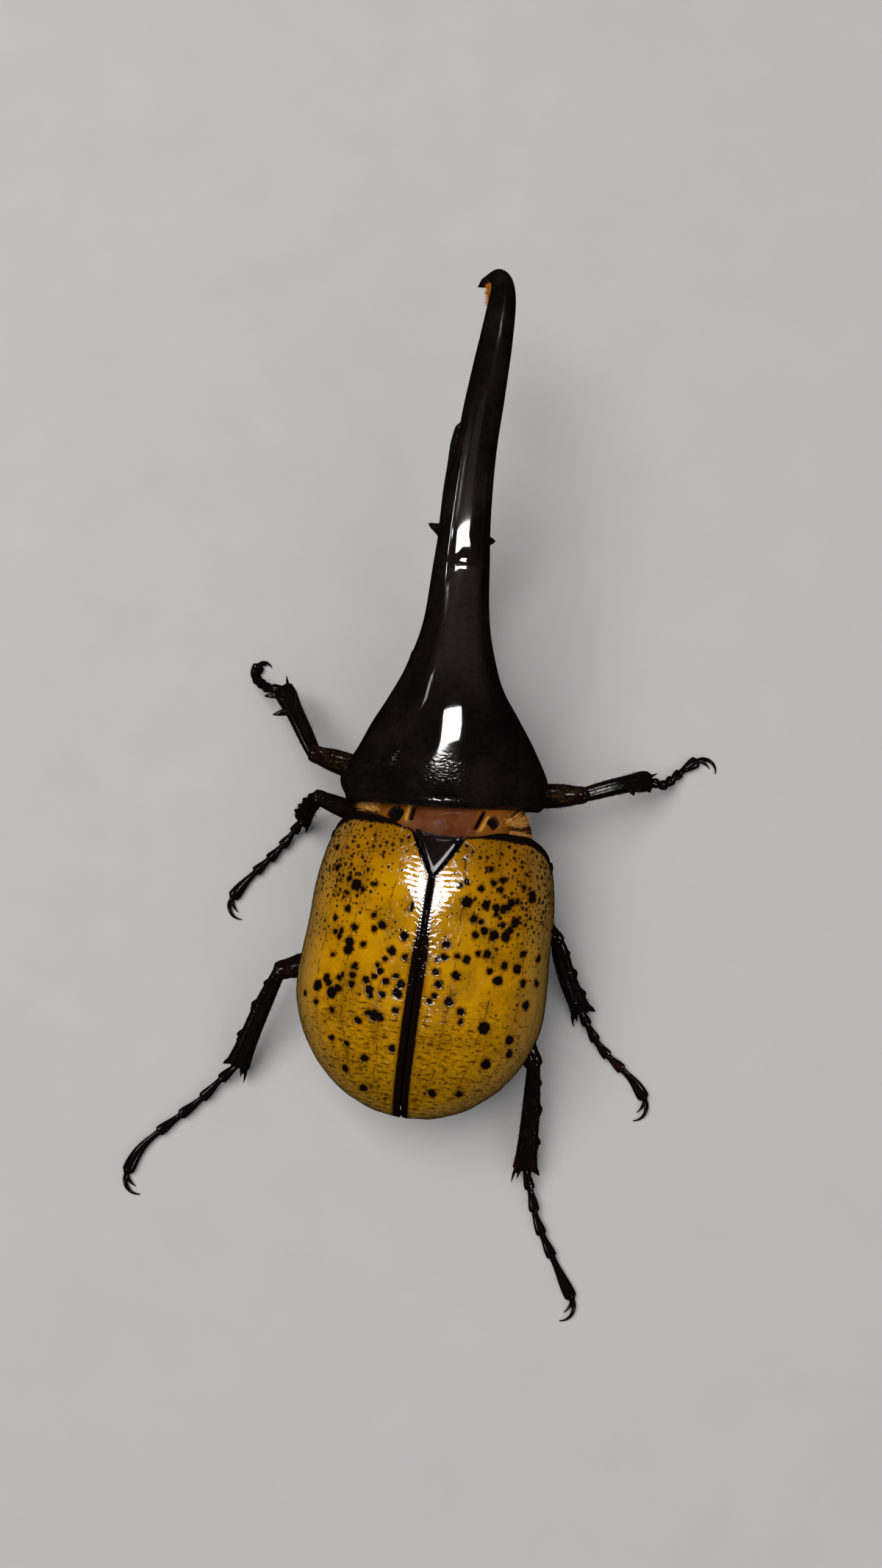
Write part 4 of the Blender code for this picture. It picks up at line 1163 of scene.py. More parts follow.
# %% Head and lower horn
# Rows: ahead, sideways, height, half width, reach up, reach down, twist.
HEAD_SHELL = [
    (-1.5, 0.0, 0.0, 4.4, 3.6, 3.6, 0.0),
    (1.5, 0.0, 0.0, 5.4, 4.6, 4.6, 0.0),
    (5.2, 0.0, 0.0, 5.7, 4.7, 5.0, 0.0),
    (7.9, 0.0, 0.2, 5.0, 4.3, 4.6, 0.0),
    (10.2, 0.0, 0.1, 3.9, 3.5, 3.7, 0.0),
    (15.0, 0.0, -0.9, 3.1, 3.0, 3.0, 0.0),
    (25.0, 0.0, -1.2, 2.3, 2.8, 2.8, 0.0),
    (36.0, 0.0, 1.6, 1.7, 2.6, 2.6, 0.0),
    (44.0, 0.0, 5.4, 1.4, 2.3, 2.3, 0.0),
    (50.0, 0.0, 9.4, 1.1, 1.6, 1.6, 0.0),
    (52.2, 0.0, 12.2, 0.6, 0.7, 0.7, 0.0),
]
LOWER_TIP = (0.0, -52.6, 13.6)
# Teeth on the horn's upper edge: ahead and height.
HORN_TEETH = ((36.6, 3.2), (45.6, 2.4))
HEAD_ROWS, HEAD_SIDES = 260, 110


def head_shell():
    """The head drawn out into the lower horn, with two teeth on the horn's upper edge."""
    rows = through(HEAD_SHELL, HEAD_ROWS)
    ahead = rows[:, 0]
    centres = np.column_stack([rows[:, 1], -ahead, rows[:, 2]])
    leaning = soft_step(ahead, 9.0, 18.0)[:, None]
    along = unit(heading(centres) * leaning + AHEAD * (1 - leaning))
    square = 2.4 - 0.4 * soft_step(ahead, 6.0, 14.0)
    grid = swept(centres, rows[:, 3], rows[:, 4], rows[:, 5], HEAD_SIDES, along,
                 upper=square, lower=square)
    normals = normals_of(grid)
    way = ahead[:, None]
    angle = 360 * np.arange(HEAD_SIDES)[None, :] / HEAD_SIDES
    relief = 0.06 * waves(8, 21, way * 0.5, grid[..., 0], grid[..., 2])
    brow = bead(angle, 158.0, 14.0) + bead(angle, 22.0, 14.0)
    relief = relief + 0.35 * brow * bead(way, 3.2, 2.2)
    keel = bead(angle, 90.0, 16.0) * soft_step(way, 16.0, 26.0)
    relief = relief + 0.25 * keel
    for place, tall in HORN_TEETH:
        relief = relief + tall * bead(angle, 90.0, 22.0) * bead(way, place, 1.3)
    form = Form().tube(grid + normals * relief[..., None], end=LOWER_TIP)
    piece("head_and_lower_horn", form, horn_finish, "black_shell", "head", "lower_horn", place=SKULL)
    return placed(grid, SKULL)


head_grid = head_shell()

# %% [markdown]
# ## Snout plate and eyes
#
# Over the mouth sits the snout plate with its two blunt points, and on each side an eye, half
# covered by a bar of shell. An eye is a plain ball, since its facets are far too fine for a mesh.

# %% Snout plate and eyes
# Rows from rear to front: ahead, half width, height of the top and of the underside.
SNOUT = ((7.0, 5.0, -3.6, -4.6), (8.6, 5.2, -3.2, -5.0), (12.0, 4.4, -4.1, -5.6),
         (15.0, 3.2, -4.5, -5.9), (15.6, 2.4, -4.8, -5.8))
SNOUT_ROWS, SNOUT_SIDES = 60, 90
EYE_RADIUS, EYE_PLACE = 1.7, (4.9, -4.6, -0.6)
BALL_RINGS, BALL_SIDES, BALL_END = 28, 40, 86


def snout():
    """The plate over the mouth, with a raised rim and two blunt points in front."""
    rows = through(SNOUT, SNOUT_ROWS)
    middle, reach = (rows[:, 2] + rows[:, 3]) / 2, (rows[:, 2] - rows[:, 3]) / 2
    centres = np.column_stack([np.zeros(SNOUT_ROWS), -rows[:, 0], middle])
    grid = swept(centres, rows[:, 1], reach, reach, SNOUT_SIDES, AHEAD, upper=2.6, lower=2.6)
    notch = bead(np.abs(grid[..., 0]), 1.7, 0.9) * soft_step(-grid[..., 1], 13.0, 15.6)
    grid[..., 1] = grid[..., 1] - 0.9 * notch
    grid[..., 2] = grid[..., 2] + 0.25 * notch
    piece("snout_plate", Form().tube(grid), horn_finish, "black_shell", "snout", place=SKULL)


def eye(word, side):
    """The eye, a black bead sunk in the side of the head, in rings from its lowest to its highest."""
    rise = np.radians(np.linspace(-BALL_END, BALL_END, BALL_RINGS))[:, None]
    turn = 2 * math.pi * np.arange(BALL_SIDES)[None, :] / BALL_SIDES
    parts = (np.cos(rise) * np.cos(turn), np.cos(rise) * np.sin(turn), np.sin(rise) + 0 * turn)
    grid = np.stack(parts, axis=-1) * EYE_RADIUS + np.array(EYE_PLACE) * np.array([side, 1, 1])
    piece(f"eye_bead_{word}", Form().tube(grid), eye_finish, "eye_black", f"eye_{word}", place=SKULL)


snout()
for word, side in (("left", 1), ("right", -1)):
    eye(word, side)

# %% [markdown]
# ## Feelers and mouthparts
#
# Small limbs are tubes too, with a radius that swells and narrows joint by joint. A beetle of this
# kind has ten feeler joints: a long first one, a string of beads, and a club of three leaves. The
# jaws are curved blades, and behind them hang the jointed palps that taste its food.

# %% Feelers and mouthparts
FEELER_PATH = [(4.5, -7.0, -2.9), (5.3, -8.4, -5.4), (4.7, -10.4, -7.2), (4.3, -12.4, -7.9),
               (4.2, -13.4, -8.1)]
FEELER_RADII, FEELER_ROWS = (0.30, 0.45, 0.28, 0.26, 0.3), 120
BEADS_START, BEAD_COUNT = 0.42, 9
CLUB_ROOT, CLUB_TIP, CLUB_LEAVES = (4.2, -13.2, -8.1), (3.85, -17.3, -8.6), 3
LEAF_ROWS, LEAF_WIDTH, LEAF_DEPTH = 24, 0.85, 0.22
JAW_PATH = [(3.0, -13.0, -5.9), (2.9, -15.2, -5.9), (2.2, -17.2, -5.7), (1.3, -18.2, -5.5)]
JAW_WIDTHS, JAW_DEPTHS, JAW_ROWS = (1.1, 1.25, 0.9, 0.35), (0.5, 0.6, 0.5, 0.22), 50
PALP_PATH = [(1.5, -10.3, -5.2), (2.0, -12.8, -7.6), (2.3, -14.8, -8.4), (1.9, -17.2, -8.8)]
PALP_RADII, PALP_ROWS, PALP_JOINTS = (0.42, 0.45, 0.52, 0.34), 90, 4


def limb_grid(path, side, widths, depths, count, sides):
    """Rings along a path given for the left side, with half widths and half depths of its own."""
    centres = through(np.array(path) * np.array([side, 1.0, 1.0]), count)
    depths = eased(depths, count)
    return swept(centres, eased(widths, count), depths, depths, sides, heading(centres))


def beaded(grid, sizes):
    """Rings that swell and narrow by sizes, one for each ring."""
    middle = grid.mean(axis=1, keepdims=True)
    return middle + (grid - middle) * sizes[:, None, None]


def feeler(word, side):
    """A feeler: a thick first joint, a string of beads and three flat leaves."""
    grid = limb_grid(FEELER_PATH, side, FEELER_RADII, FEELER_RADII, FEELER_ROWS, 20)
    way = np.linspace(0, 1, FEELER_ROWS)
    past = np.maximum(way - BEADS_START, 0)
    form = Form().tube(beaded(grid, 1 + 0.28 * np.abs(np.sin(math.pi * BEAD_COUNT * past))))
    for leaf in range(CLUB_LEAVES):
        lean = (leaf - 1) * 0.5
        start = np.array([side * CLUB_ROOT[0], CLUB_ROOT[1], CLUB_ROOT[2] + lean * 0.5])
        end = np.array([side * (CLUB_TIP[0] + 0.2 * lean), CLUB_TIP[1], CLUB_TIP[2] + lean])
        rows = np.linspace(0, 1, LEAF_ROWS)[:, None]
        centres = start + (end - start) * rows
        swell = np.sin(math.pi * (0.06 + 0.88 * rows[:, 0])) ** 0.6
        depth = LEAF_DEPTH * swell
        form.tube(swept(centres, LEAF_WIDTH * swell, depth, depth, 20, heading(centres)))
    piece(f"feeler_{word}", form, thigh_finish, "brown_shell", f"antenna_{word}", place=SKULL)


def mouthparts(word, side):
    """The jaw, a curved blade, and the four-jointed palp behind it."""
    form = Form().tube(limb_grid(JAW_PATH, side, JAW_WIDTHS, JAW_DEPTHS, JAW_ROWS, 28))
    piece(f"jaw_blade_{word}", form, horn_finish, "black_shell", f"jaw_{word}", place=SKULL)
    grid = limb_grid(PALP_PATH, side, PALP_RADII, PALP_RADII, PALP_ROWS, 20)
    way = np.linspace(0, 1, PALP_ROWS)
    form = Form().tube(beaded(grid, 0.8 + 0.3 * np.abs(np.sin(math.pi * PALP_JOINTS * way)) ** 0.5))
    piece(f"palp_joints_{word}", form, thigh_finish, "brown_shell", f"palp_{word}", place=SKULL)


for word, side in (("left", 1), ("right", -1)):
    feeler(word, side)
    mouthparts(word, side)

# %% [markdown]
# ## Body under the wing cases
#
# Seen from the side, the rear and below, the body shows two parts: the breast, a broad plate with
# a furrow along its middle, and the belly, whose rings overlap from front to rear. Their upper side
# takes its shape from the wing cases that cover it, drawn in a little all round, so it never shows
# through them.

# %% Breast and belly
CHEST_END = 19.0
BELLY_DEPTH, BELLY_DEEPEST, BELLY_REACH = 10.0, 14.0, 37.0
BODY_INSET, BODY_ROOM, SHIELD_ROOM = 1.62, 0.22, 1.5
BELLY_RINGS = (25.0, 29.5, 33.8, 38.0, 42.0)
BREAST_START, BELLY_END, LAST_BELLY_ROW = 2.2, CASE_LENGTH - 1.7, 0.985
BREAST_ROWS, BELLY_ROWS, BODY_SIDES = 110, 170, 180


def body_grid(behinds):
    """Rings of the body under the wing cases, at distances behind their front edge."""
    share = np.maximum(behinds, 0.0) / (CASE_LENGTH - BODY_INSET)
    width = (CASE_HALF_WIDTH - BODY_INSET) * case_half_width(share) - BODY_ROOM
    top = (CASE_CREST - BODY_INSET) * case_height(share) - BODY_ROOM
    top = top - SHIELD_ROOM * soft_step(behinds, 15.0, 9.0)
    away = np.abs(behinds - BELLY_DEEPEST) / BELLY_REACH
    depth = BELLY_DEPTH * np.sqrt(np.maximum(0.02, 1 - away ** 2.4))
    centres = np.column_stack([0 * behinds, behinds, 0 * behinds])
    return swept(centres, width, top, depth, BODY_SIDES, AHEAD, upper=2.2, lower=1.7)


def breast():
    """The breast plate with its middle furrow and the seam behind the middle legs."""
    grid = body_grid(np.linspace(BREAST_START, CHEST_END, BREAST_ROWS))
    below = soft_step(grid[..., 2], 0.0, -3.0)
    relief = -0.35 * bead(grid[..., 0], 0.0, 0.5) * below
    relief = relief - 0.3 * bead(grid[..., 1], 7.5 + 0.12 * np.abs(grid[..., 0]), 0.35) * below
    relief = relief + 0.05 * waves(8, 31, grid[..., 0], grid[..., 1], grid[..., 2])
    form = Form().tube(grid + normals_of(grid) * relief[..., None])
    piece("breast_plate", form, under_finish, "black_shell", "chest", place=HIND)
    return placed(grid, HIND)


def belly():
    """The belly, whose rings each end in a raised edge."""
    first = CHEST_END + GAP
    share = np.sin(0.5 * math.pi * np.linspace(0, LAST_BELLY_ROW, BELLY_ROWS))
    grid = body_grid(first + (BELLY_END - first) * share)
    below = soft_step(grid[..., 2], 2.0, -2.0)
    bow = grid[..., 1] + 0.035 * grid[..., 0] ** 2
    relief = 0.05 * waves(8, 33, grid[..., 0], grid[..., 1], grid[..., 2])
    for edge in BELLY_RINGS:
        rise = soft_step(bow, edge - 3.2, edge) * soft_step(bow, edge + 0.35, edge)
        relief = relief + (0.28 * rise - 0.22 * bead(bow, edge + 0.5, 0.35)) * below
    form = Form().tube(grid + normals_of(grid) * relief[..., None])
    piece("belly_rings", form, under_finish, "black_shell", "belly", place=HIND)
    return placed(grid, HIND)


breast_grid = breast()
belly_grid = belly()

# %% [markdown]
# ## Legs
#
# Each leg has a rounded block at its root, a stout thigh, a shin with teeth for digging, and a
# five-jointed foot with two claws. All six are made by the same functions from a table of points,
# in millimetres in the stance frame, through which their joints run.

# %% Paths of the legs
LEGS = {
    "front_left": {
        "hip": [(1.6, -26.0, 9.8), (8.6, -26.6, 8.8)],
        "shin": [(22.5, -30.8, 14.2), (25.6, -37.2, 12.0), (28.9, -43.6, 9.3)],
        "foot": [(31.6, -44.0, 7.2), (34.0, -45.9, 4.0), (35.4, -47.9, 0.8), (34.6, -50.1, 0.65)],
        "claw_turn": -150.0,
        "claw_share": 0.55,
    },
    "front_right": {
        "hip": [(-4.9, -24.2, 9.8), (-11.8, -23.6, 8.8)],
        "shin": [(-25.2, -23.5, 13.3), (-32.2, -25.6, 10.0), (-38.2, -27.0, 6.0)],
        "foot": [(-41.4, -26.5, 3.4), (-43.5, -27.9, 1.8), (-45.8, -29.7, 0.9), (-48.5, -31.5, 0.65)],
        "claw_turn": -150.0,
        "tooth_drop": 1.6,
    },
    "middle_left": {
        "hip": [(2.8, -14.6, 9.8), (9.6, -18.4, 8.8)],
        "shin": [(21.4, -22.7, 17.0), (23.8, -21.6, 10.0), (25.6, -20.2, 3.4)],
        "foot": [(27.6, -17.7, 2.0), (30.6, -14.3, 1.3), (36.2, -8.9, 0.85), (39.0, -5.5, 0.65)],
        "claw_turn": 140.0,
    },
    "middle_right": {
        "hip": [(-3.6, -12.6, 9.8), (-10.2, -9.6, 8.8)],
        "shin": [(-20.4, 2.0, 12.0), (-22.5, 8.6, 8.0), (-25.3, 14.6, 4.0)],
        "foot": [(-27.0, 18.0, 2.2), (-29.6, 22.1, 1.4), (-34.9, 27.4, 0.85), (-37.2, 31.0, 0.65)],
        "claw_turn": -130.0,
    },
    "hind_left": {
        "hip": [(4.6, 2.6, 9.4), (12.0, 3.6, 8.4)],
        "shin": [(28.1, 7.2, 13.0), (32.0, 14.4, 8.8), (36.6, 24.3, 4.0)],
        "foot": [(40.0, 27.2, 2.2), (44.2, 31.2, 1.4), (53.8, 38.8, 0.85), (57.0, 44.1, 0.65)],
        "claw_turn": 130.0,
    },
    "hind_right": {
        "hip": [(-2.4, 5.0, 9.4), (-8.6, 9.4, 8.4)],
        "shin": [(-16.1, 23.2, 12.0), (-15.8, 32.0, 8.2), (-15.0, 42.4, 4.0)],
        "foot": [(-16.3, 47.8, 2.2), (-17.5, 52.9, 1.4), (-21.5, 61.8, 0.85), (-23.5, 65.9, 0.65)],
        "claw_turn": -130.0,
    },
}
print("legs:", ", ".join(LEGS))

# %% [markdown]
# ## Hips and thighs
#
# A hip is an egg-shaped block sunk into the underside, and a thigh is a flattened tube with a neck
# at its root and a thicker knee. Both keep to the path of the leg, so that the joints meet.

# %% Hips and thighs
HIP_RADIUS = 3.0
THIGH_WIDTHS = {"front": (1.3, 2.0, 2.2, 2.0, 1.3), "middle": (1.1, 1.6, 1.8, 1.6, 1.2),
                "hind": (1.3, 2.1, 2.3, 2.1, 1.4)}
THIGH_DEPTHS = (1.2, 1.9, 2.1, 1.9, 1.25)
HIP_ROWS, HIP_SIDES, THIGH_ROWS, THIGH_SIDES = 50, 60, 90, 56


def hip(place, leg):
    """The root joint of the leg, set into the underside."""
    start, end = (np.array(point) for point in leg["hip"])
    along = unit(end - start)
    share = np.linspace(0, 1, HIP_ROWS)[:, None]
    centres = start - along * 1.5 + (end - start + along * 2.2) * share
    swell = HIP_RADIUS * (0.25 + 0.75 * np.sin(math.pi * (0.08 + 0.80 * share[:, 0])) ** 0.6)
    form = Form().tube(swept(centres, swell, 0.85 * swell, 0.85 * swell, HIP_SIDES, heading(centres)))
    piece(f"hip_{place}_joint", form, under_finish, "black_shell", f"hip_{place}", place=STANCE)


def thigh(place, leg):
    """The thigh, stout in its middle, with a knob at the root and a thicker knee."""
    start, end = np.array(leg["hip"][1]), np.array(leg["shin"][0])
    along = unit(end - start)
    share = np.linspace(0, 1, THIGH_ROWS)[:, None]
    centres = start + along * 0.4 + (end - start + along * 0.2) * share
    neck = 1 - 0.22 * bead(share[:, 0], 0.10, 0.04)
    knee = 1 + 0.12 * bead(share[:, 0], 0.95, 0.05)
    widths = eased(THIGH_WIDTHS[place.split("_")[0]], THIGH_ROWS) * neck * knee
    depths = eased(THIGH_DEPTHS, THIGH_ROWS) * neck * knee
    grid = swept(centres, widths, depths, depths, THIGH_SIDES, heading(centres))
    form = Form().tube(grid, start=centres[0] - along * 0.9, end=centres[-1] + along * 0.8)
    piece(f"thigh_{place}_shell", form, thigh_finish, "brown_shell", f"thigh_{place}", place=STANCE)
    return placed(grid, STANCE)


thigh_grids = {}
for place, leg in LEGS.items():
    hip(place, leg)
    thigh_grids[place] = thigh(place, leg)

# %% [markdown]
# ## Shins
#
# A shin is a ridged tube with teeth on its outer edge and spurs at its end. The teeth and spurs are
# cones pushed into it, and one voxel remesh welds them to the shin, so they grow out of it with
# soft roots as the real ones do.

# %% Shins
SHIN_WIDTHS = {"front": (1.2, 1.35, 1.45, 1.5, 1.6, 1.9, 1.8),
               "middle": (1.0, 1.4, 1.5, 1.55, 1.6, 1.7, 1.9),
               "hind": (1.1, 1.2, 1.4, 1.55, 1.65, 1.85, 2.2)}
SHIN_DEPTHS = (0.9, 1.0, 1.05, 1.1, 1.15, 1.2, 1.1)
# Teeth of a shin: share of its length, reach outwards, reach ahead.
FRONT_TEETH = ((0.66, 3.4, 0.9), (0.92, 3.2, 1.3))
SHIN_TEETH = ((0.22, 1.1, 0.9), (0.44, 1.5, 1.4), (0.49, 1.2, 1.1),
              (0.70, 1.7, 1.7), (0.75, 1.3, 1.2), (0.96, 1.9, 2.2))
# End spurs: how far inwards they stand, and reach.
SPURS = ((1.3, 4.2), (0.4, 3.2))
SPINE_ROWS, SPINE_SIDES = 14, 14
TOOTH_RADIUS, SPUR_RADIUS, OUTER_SPUR_RADIUS = 0.85, 0.42, 0.5
TIP_HEIGHT = 0.4
SHIN_ROWS, SHIN_SIDES = 80, 44
SHIN_RIDGES, RIDGE_HEIGHT = 6, 0.07


def spine(form, root, tip, radius, bend=(0.0, 0.0, 0.0)):
    """A tapering spine from root to tip, bowed by bend in its middle."""
    share = np.linspace(0, 1, SPINE_ROWS)[:, None]
    centres = root + (tip - root) * share + np.array(bend) * np.sin(math.pi * share)
    taper = radius * np.maximum(1 - share[:, 0] ** 1.2, 0.06) ** 0.8
    form.tube(swept(centres, taper, taper, taper, SPINE_SIDES, heading(centres)))


def outward_side(along, place):
    """The level direction square to a shin that points away from the body."""
    side = unit(np.cross(along, UP))
    return side if (side[0] > 0) == place.endswith("left") else -side


def above_floor(point):
    """The same point, lifted clear of the floor where it is too low."""
    return np.array([point[0], point[1], max(point[2], TIP_HEIGHT)])


def shin_spines(form, pair, centres, widths, along, outward):
    """Teeth along the outer edge of a shin and spurs at its end."""
    for share, out, ahead in FRONT_TEETH if pair == "front" else SHIN_TEETH:
        row = int(share * (SHIN_ROWS - 1))
        root = centres[row] + outward * widths[row] * 0.35
        tip = above_floor(root + outward * out + along * ahead)
        spine(form, root, tip, TOOTH_RADIUS, bend=outward * 0.25)
    end = centres[-1] - along * 0.4
    if pair == "front":
        root = end - outward * 0.9
        spine(form, root, above_floor(root - outward * 0.8 + along * 3.0), SPUR_RADIUS)
        return
    for inward, reach in SPURS:
        root = end - outward * inward - UP * (0.3 + 0.4 * inward)
        tip = above_floor(root - outward * 0.9 + along * reach)
        spine(form, root, tip, SPUR_RADIUS, bend=outward * -0.2)
    root = end + outward * 0.6 - UP * 0.8
    spine(form, root, above_floor(root + outward * 0.7 + along * 2.2), OUTER_SPUR_RADIUS)


def shin(place, leg):
    """The shin with its outer teeth and end spurs, welded into one skin."""
    pair = place.split("_")[0]
    centres = through(leg["shin"], SHIN_ROWS)
    along = unit(centres[-1] - centres[0])
    outward = unit(outward_side(along, place) - UP * leg.get("tooth_drop", 0.0))
    widths, depths = eased(SHIN_WIDTHS[pair], SHIN_ROWS), eased(SHIN_DEPTHS, SHIN_ROWS)
    grid = swept(centres, widths, depths, depths, SHIN_SIDES, heading(centres), upper=2.5, lower=2.5)
    turn = 2 * math.pi * np.arange(SHIN_SIDES) / SHIN_SIDES
    ridges = RIDGE_HEIGHT * np.cos(SHIN_RIDGES * turn)[None, :]
    shaped = grid + normals_of(grid) * ridges[..., None]
    form = Form().tube(shaped, start=centres[0] - along * 0.8, end=centres[-1] + along * 0.3)
    shin_spines(form, pair, centres, widths, along, outward)
    made = piece(f"shin_{place}_shell", form, leg_finish, "black_shell", f"shin_{place}", place=STANCE)
    weld(made)
    return placed(grid, STANCE)


shin_grids = {place: shin(place, leg) for place, leg in LEGS.items()}

# %% [markdown]
# ## Feet and claws
#
# A foot is one tube whose radius is a saw-tooth along its length: five joints that widen to their
# ends. Two claws are spines whose heading turns as they go. Whatever would dip below the floor is
# pressed flat on it, which gives the feet their small resting places.

# %% Feet and claws
JOINTS = (0.0, 0.17, 0.34, 0.51, 0.68, 1.0)
TOE_NECK, TOE_END, LAST_TOE_END = 0.56, 0.96, 1.12
# Two claws: length, radius at the root, first heading in degrees, and share of the full turn.
CLAWS = ((6.0, 0.52, -12.0, 1.0), (3.6, 0.42, 34.0, 0.35))
CLAW_LIFT, CLAW_SINK = 0.2, 0.7
FOOT_ROWS, FOOT_SIDES, CLAW_ROWS, CLAW_SIDES, PATH_STEPS = 170, 30, 36, 16, 400


def foot(place, leg):
    """The foot: five joints that widen to their ends, with end bristles left to the hair."""
    path = through([leg["shin"][-1]] + leg["foot"], PATH_STEPS)
    length = np.concatenate([[0.0], np.cumsum(np.linalg.norm(np.diff(path, axis=0), axis=1))])
    way = np.linspace(0.0, 1.0, FOOT_ROWS)
    centres = np.column_stack([np.interp(way * length[-1], length, path[:, k]) for k in range(3)])
    radii = np.zeros(FOOT_ROWS)
    for first, last in zip(JOINTS, JOINTS[1:]):
        end = LAST_TOE_END if last == 1.0 else TOE_END
        share = np.clip((way - first) / (last - first), 0.0, 1.0)
        swell = TOE_NECK + (end - TOE_NECK) * soft_step(share, 0.05, 0.85)
        round_off = np.sqrt(np.clip((1.0 - share) / 0.10, 0.0, 1.0))
        inside = (way >= first) & (way <= last)
        radii = np.where(inside, np.maximum(swell * round_off, TOE_NECK * 0.9), radii)
    grid = swept(centres, radii, radii, radii, FOOT_SIDES, heading(centres))
    grid[..., 2] = np.maximum(grid[..., 2], 0.0)
    form = Form().tube(grid, end=centres[-1] + heading(centres)[-1] * 0.3)
    ahead = unit((centres[-1] - centres[-12]) * np.array([1.0, 1.0, 0.0]))
    for length, *sizes in CLAWS:
        claw(form, centres[-1], ahead, leg["claw_turn"], length * leg.get("claw_share", 1.0), *sizes)
    piece(f"foot_{place}_joints", form, leg_finish, "black_shell", f"foot_{place}", place=STANCE)
    return placed(grid, STANCE)


def turned(vector, angle):
    """A vector turned about the upright axis."""
    x, y, z = vector
    return np.array([x * math.cos(angle) - y * math.sin(angle),
                     x * math.sin(angle) + y * math.cos(angle), z])


def claw(form, root, ahead, full_turn, length, radius, start, part):
    """A hooked claw: a spine whose heading turns as it goes."""
    turn = math.radians(full_turn) * part
    direction = turned(ahead, math.radians(math.copysign(1.0, full_turn) * start))
    share = np.linspace(0, 1, CLAW_ROWS)
    here = root - direction * CLAW_SINK
    centres = []
    for done in share:
        centres.append(here)
        here = here + turned(direction, turn * done) * length / CLAW_ROWS
    centres = np.array(centres)
    centres[:, 2] = root[2] * (1 - share) + CLAW_LIFT * share + 0.25 * np.sin(math.pi * share)
    radii = radius * (1 - 0.85 * share ** 1.3)
    grid = swept(centres, radii, radii, radii, CLAW_SIDES, heading(centres))
    grid[..., 2] = np.maximum(grid[..., 2], 0.0)
    form.tube(grid)


foot_grids = {place: foot(place, leg) for place, leg in LEGS.items()}

# %% [markdown]
# ## Hair
#
# Golden hair lines the underside of the great horn, fills the gap behind the fore body, hangs round the
# mouth and covers the breast. Stiff dark bristles stand on thighs, shins and feet. Each hair is a closed
# three-sided spike, straight from root to tip, so it is plain mesh. It is rooted on the grid of its
# surface, and on the map OFBake all of a hair's corners lie within a small patch at its root's place on
# that grid.

# %% Planting hair
PATCH, MAP_MARGIN = 0.0015, 0.002
CLEAR_OF_FLOOR, ROOT_DEPTH = 0.03, 0.1
# Hairs differ in length between two shares of the given one. Halfway they are a little thinner.
SHORTEST, LONGEST, HALFWAY = 0.6, 1.15, 0.75
# How far a stretch of hair thins out at its ends, as a share of it.
THINNING = 0.16

# Where the seven corners of a hair lie in its patch: three at the root, three halfway, the tip.
PATCH_CORNERS = PATCH * np.array(
    [(-1, -1), (1, -1), (0, 1), (-0.6, -0.6), (0.6, -0.6), (0, 0.6), (0, 0)])


class Coat:
    """Hairs of one piece, gathered surface by surface, in millimetres."""

    def __init__(self, seed):
        self.random = np.random.default_rng(seed)
        self.points, self.maps = [], []

    def strewn(self, low, high, count):
        """Shares of a range, fewer towards its two ends. A full turn has no ends."""
        fade = 0.0 if high - low >= 1.0 else THINNING
        share = self.random.uniform(fade, 1.0 - fade, count)
        return low + (high - low) * (share + self.random.uniform(-fade, fade, count))

    def plant(self, grid, count, rows, columns, length, radius, lie, spread):
        """Plants hairs on a part of a grid: rows and columns are ranges of shares of it.

        lie says how far a hair leans out, along the rows and across the columns.
        """
        random = self.random
        normals = normals_of(grid)
        down = unit(np.gradient(grid, axis=0))
        across = unit(np.cross(normals, down))
        row = self.strewn(*rows, count) * (grid.shape[0] - 1)
        column = self.strewn(*columns, count) % 1.0 * grid.shape[1]
        r, c = np.round(row).astype(int), np.round(column).astype(int) % grid.shape[1]
        root = grid[r, c] - normals[r, c] * ROOT_DEPTH
        way = normals[r, c] * lie[0] + down[r, c] * lie[1] + across[r, c] * lie[2]
        way = unit(way + random.normal(0, spread, (count, 3)))
        long = length * random.uniform(SHORTEST, LONGEST, (count, 1))
        middle = root + way * long * 0.5
        tip = root + way * long
        side = unit(np.cross(way, random.normal(size=(count, 3))))
        other = np.cross(way, side)
        spike = []
        for centre, thick in ((root, radius), (middle, radius * HALFWAY)):
            for corner in range(3):
                angle = 2 * math.pi * corner / 3
                spike.append(centre + thick * (side * math.cos(angle) + other * math.sin(angle)))
        spike.append(tip)
        spikes = np.stack(spike, axis=1)
        spikes[..., 2] = np.maximum(spikes[..., 2], CLEAR_OF_FLOOR)
        self.points.append(spikes)
        where = np.column_stack([column / grid.shape[1], row / (grid.shape[0] - 1)])
        self.maps.append(MAP_MARGIN + (1 - 2 * MAP_MARGIN) * where)

    def grow(self, name, finish, slot):
        """Makes the piece of all the hairs planted so far."""
        points = np.concatenate(self.points)
        count = len(points)
        pattern = [(0, 2, 1)]
        for k in range(3):
            pattern += [(k, (k + 1) % 3, 3 + (k + 1) % 3, 3 + k), (3 + k, 3 + (k + 1) % 3, 6)]
        faces = [[7 * hair + corner for corner in face] for hair in range(count) for face in pattern]
        form = Form()
        form.add(points, faces)
        made = piece(name, form, finish, slot)
        made.data.shade_flat()
        add_map(made, "OFBake", (np.concatenate(self.maps)[:, None, :] + PATCH_CORNERS).reshape(-1, 2))


print("coats keep clear of the floor by", CLEAR_OF_FLOOR, "mm")

# %% [markdown]
# ## Golden hair
#
# Hair grows only where the real beetle has it. Under the great horn it is a short orange pile, in
# the gap it fans out sideways from under the fore body, and below it lies back along the breast.
# Each call plants one stretch: how many hairs, where on the grid, how long and how thick, and how
# they lie.

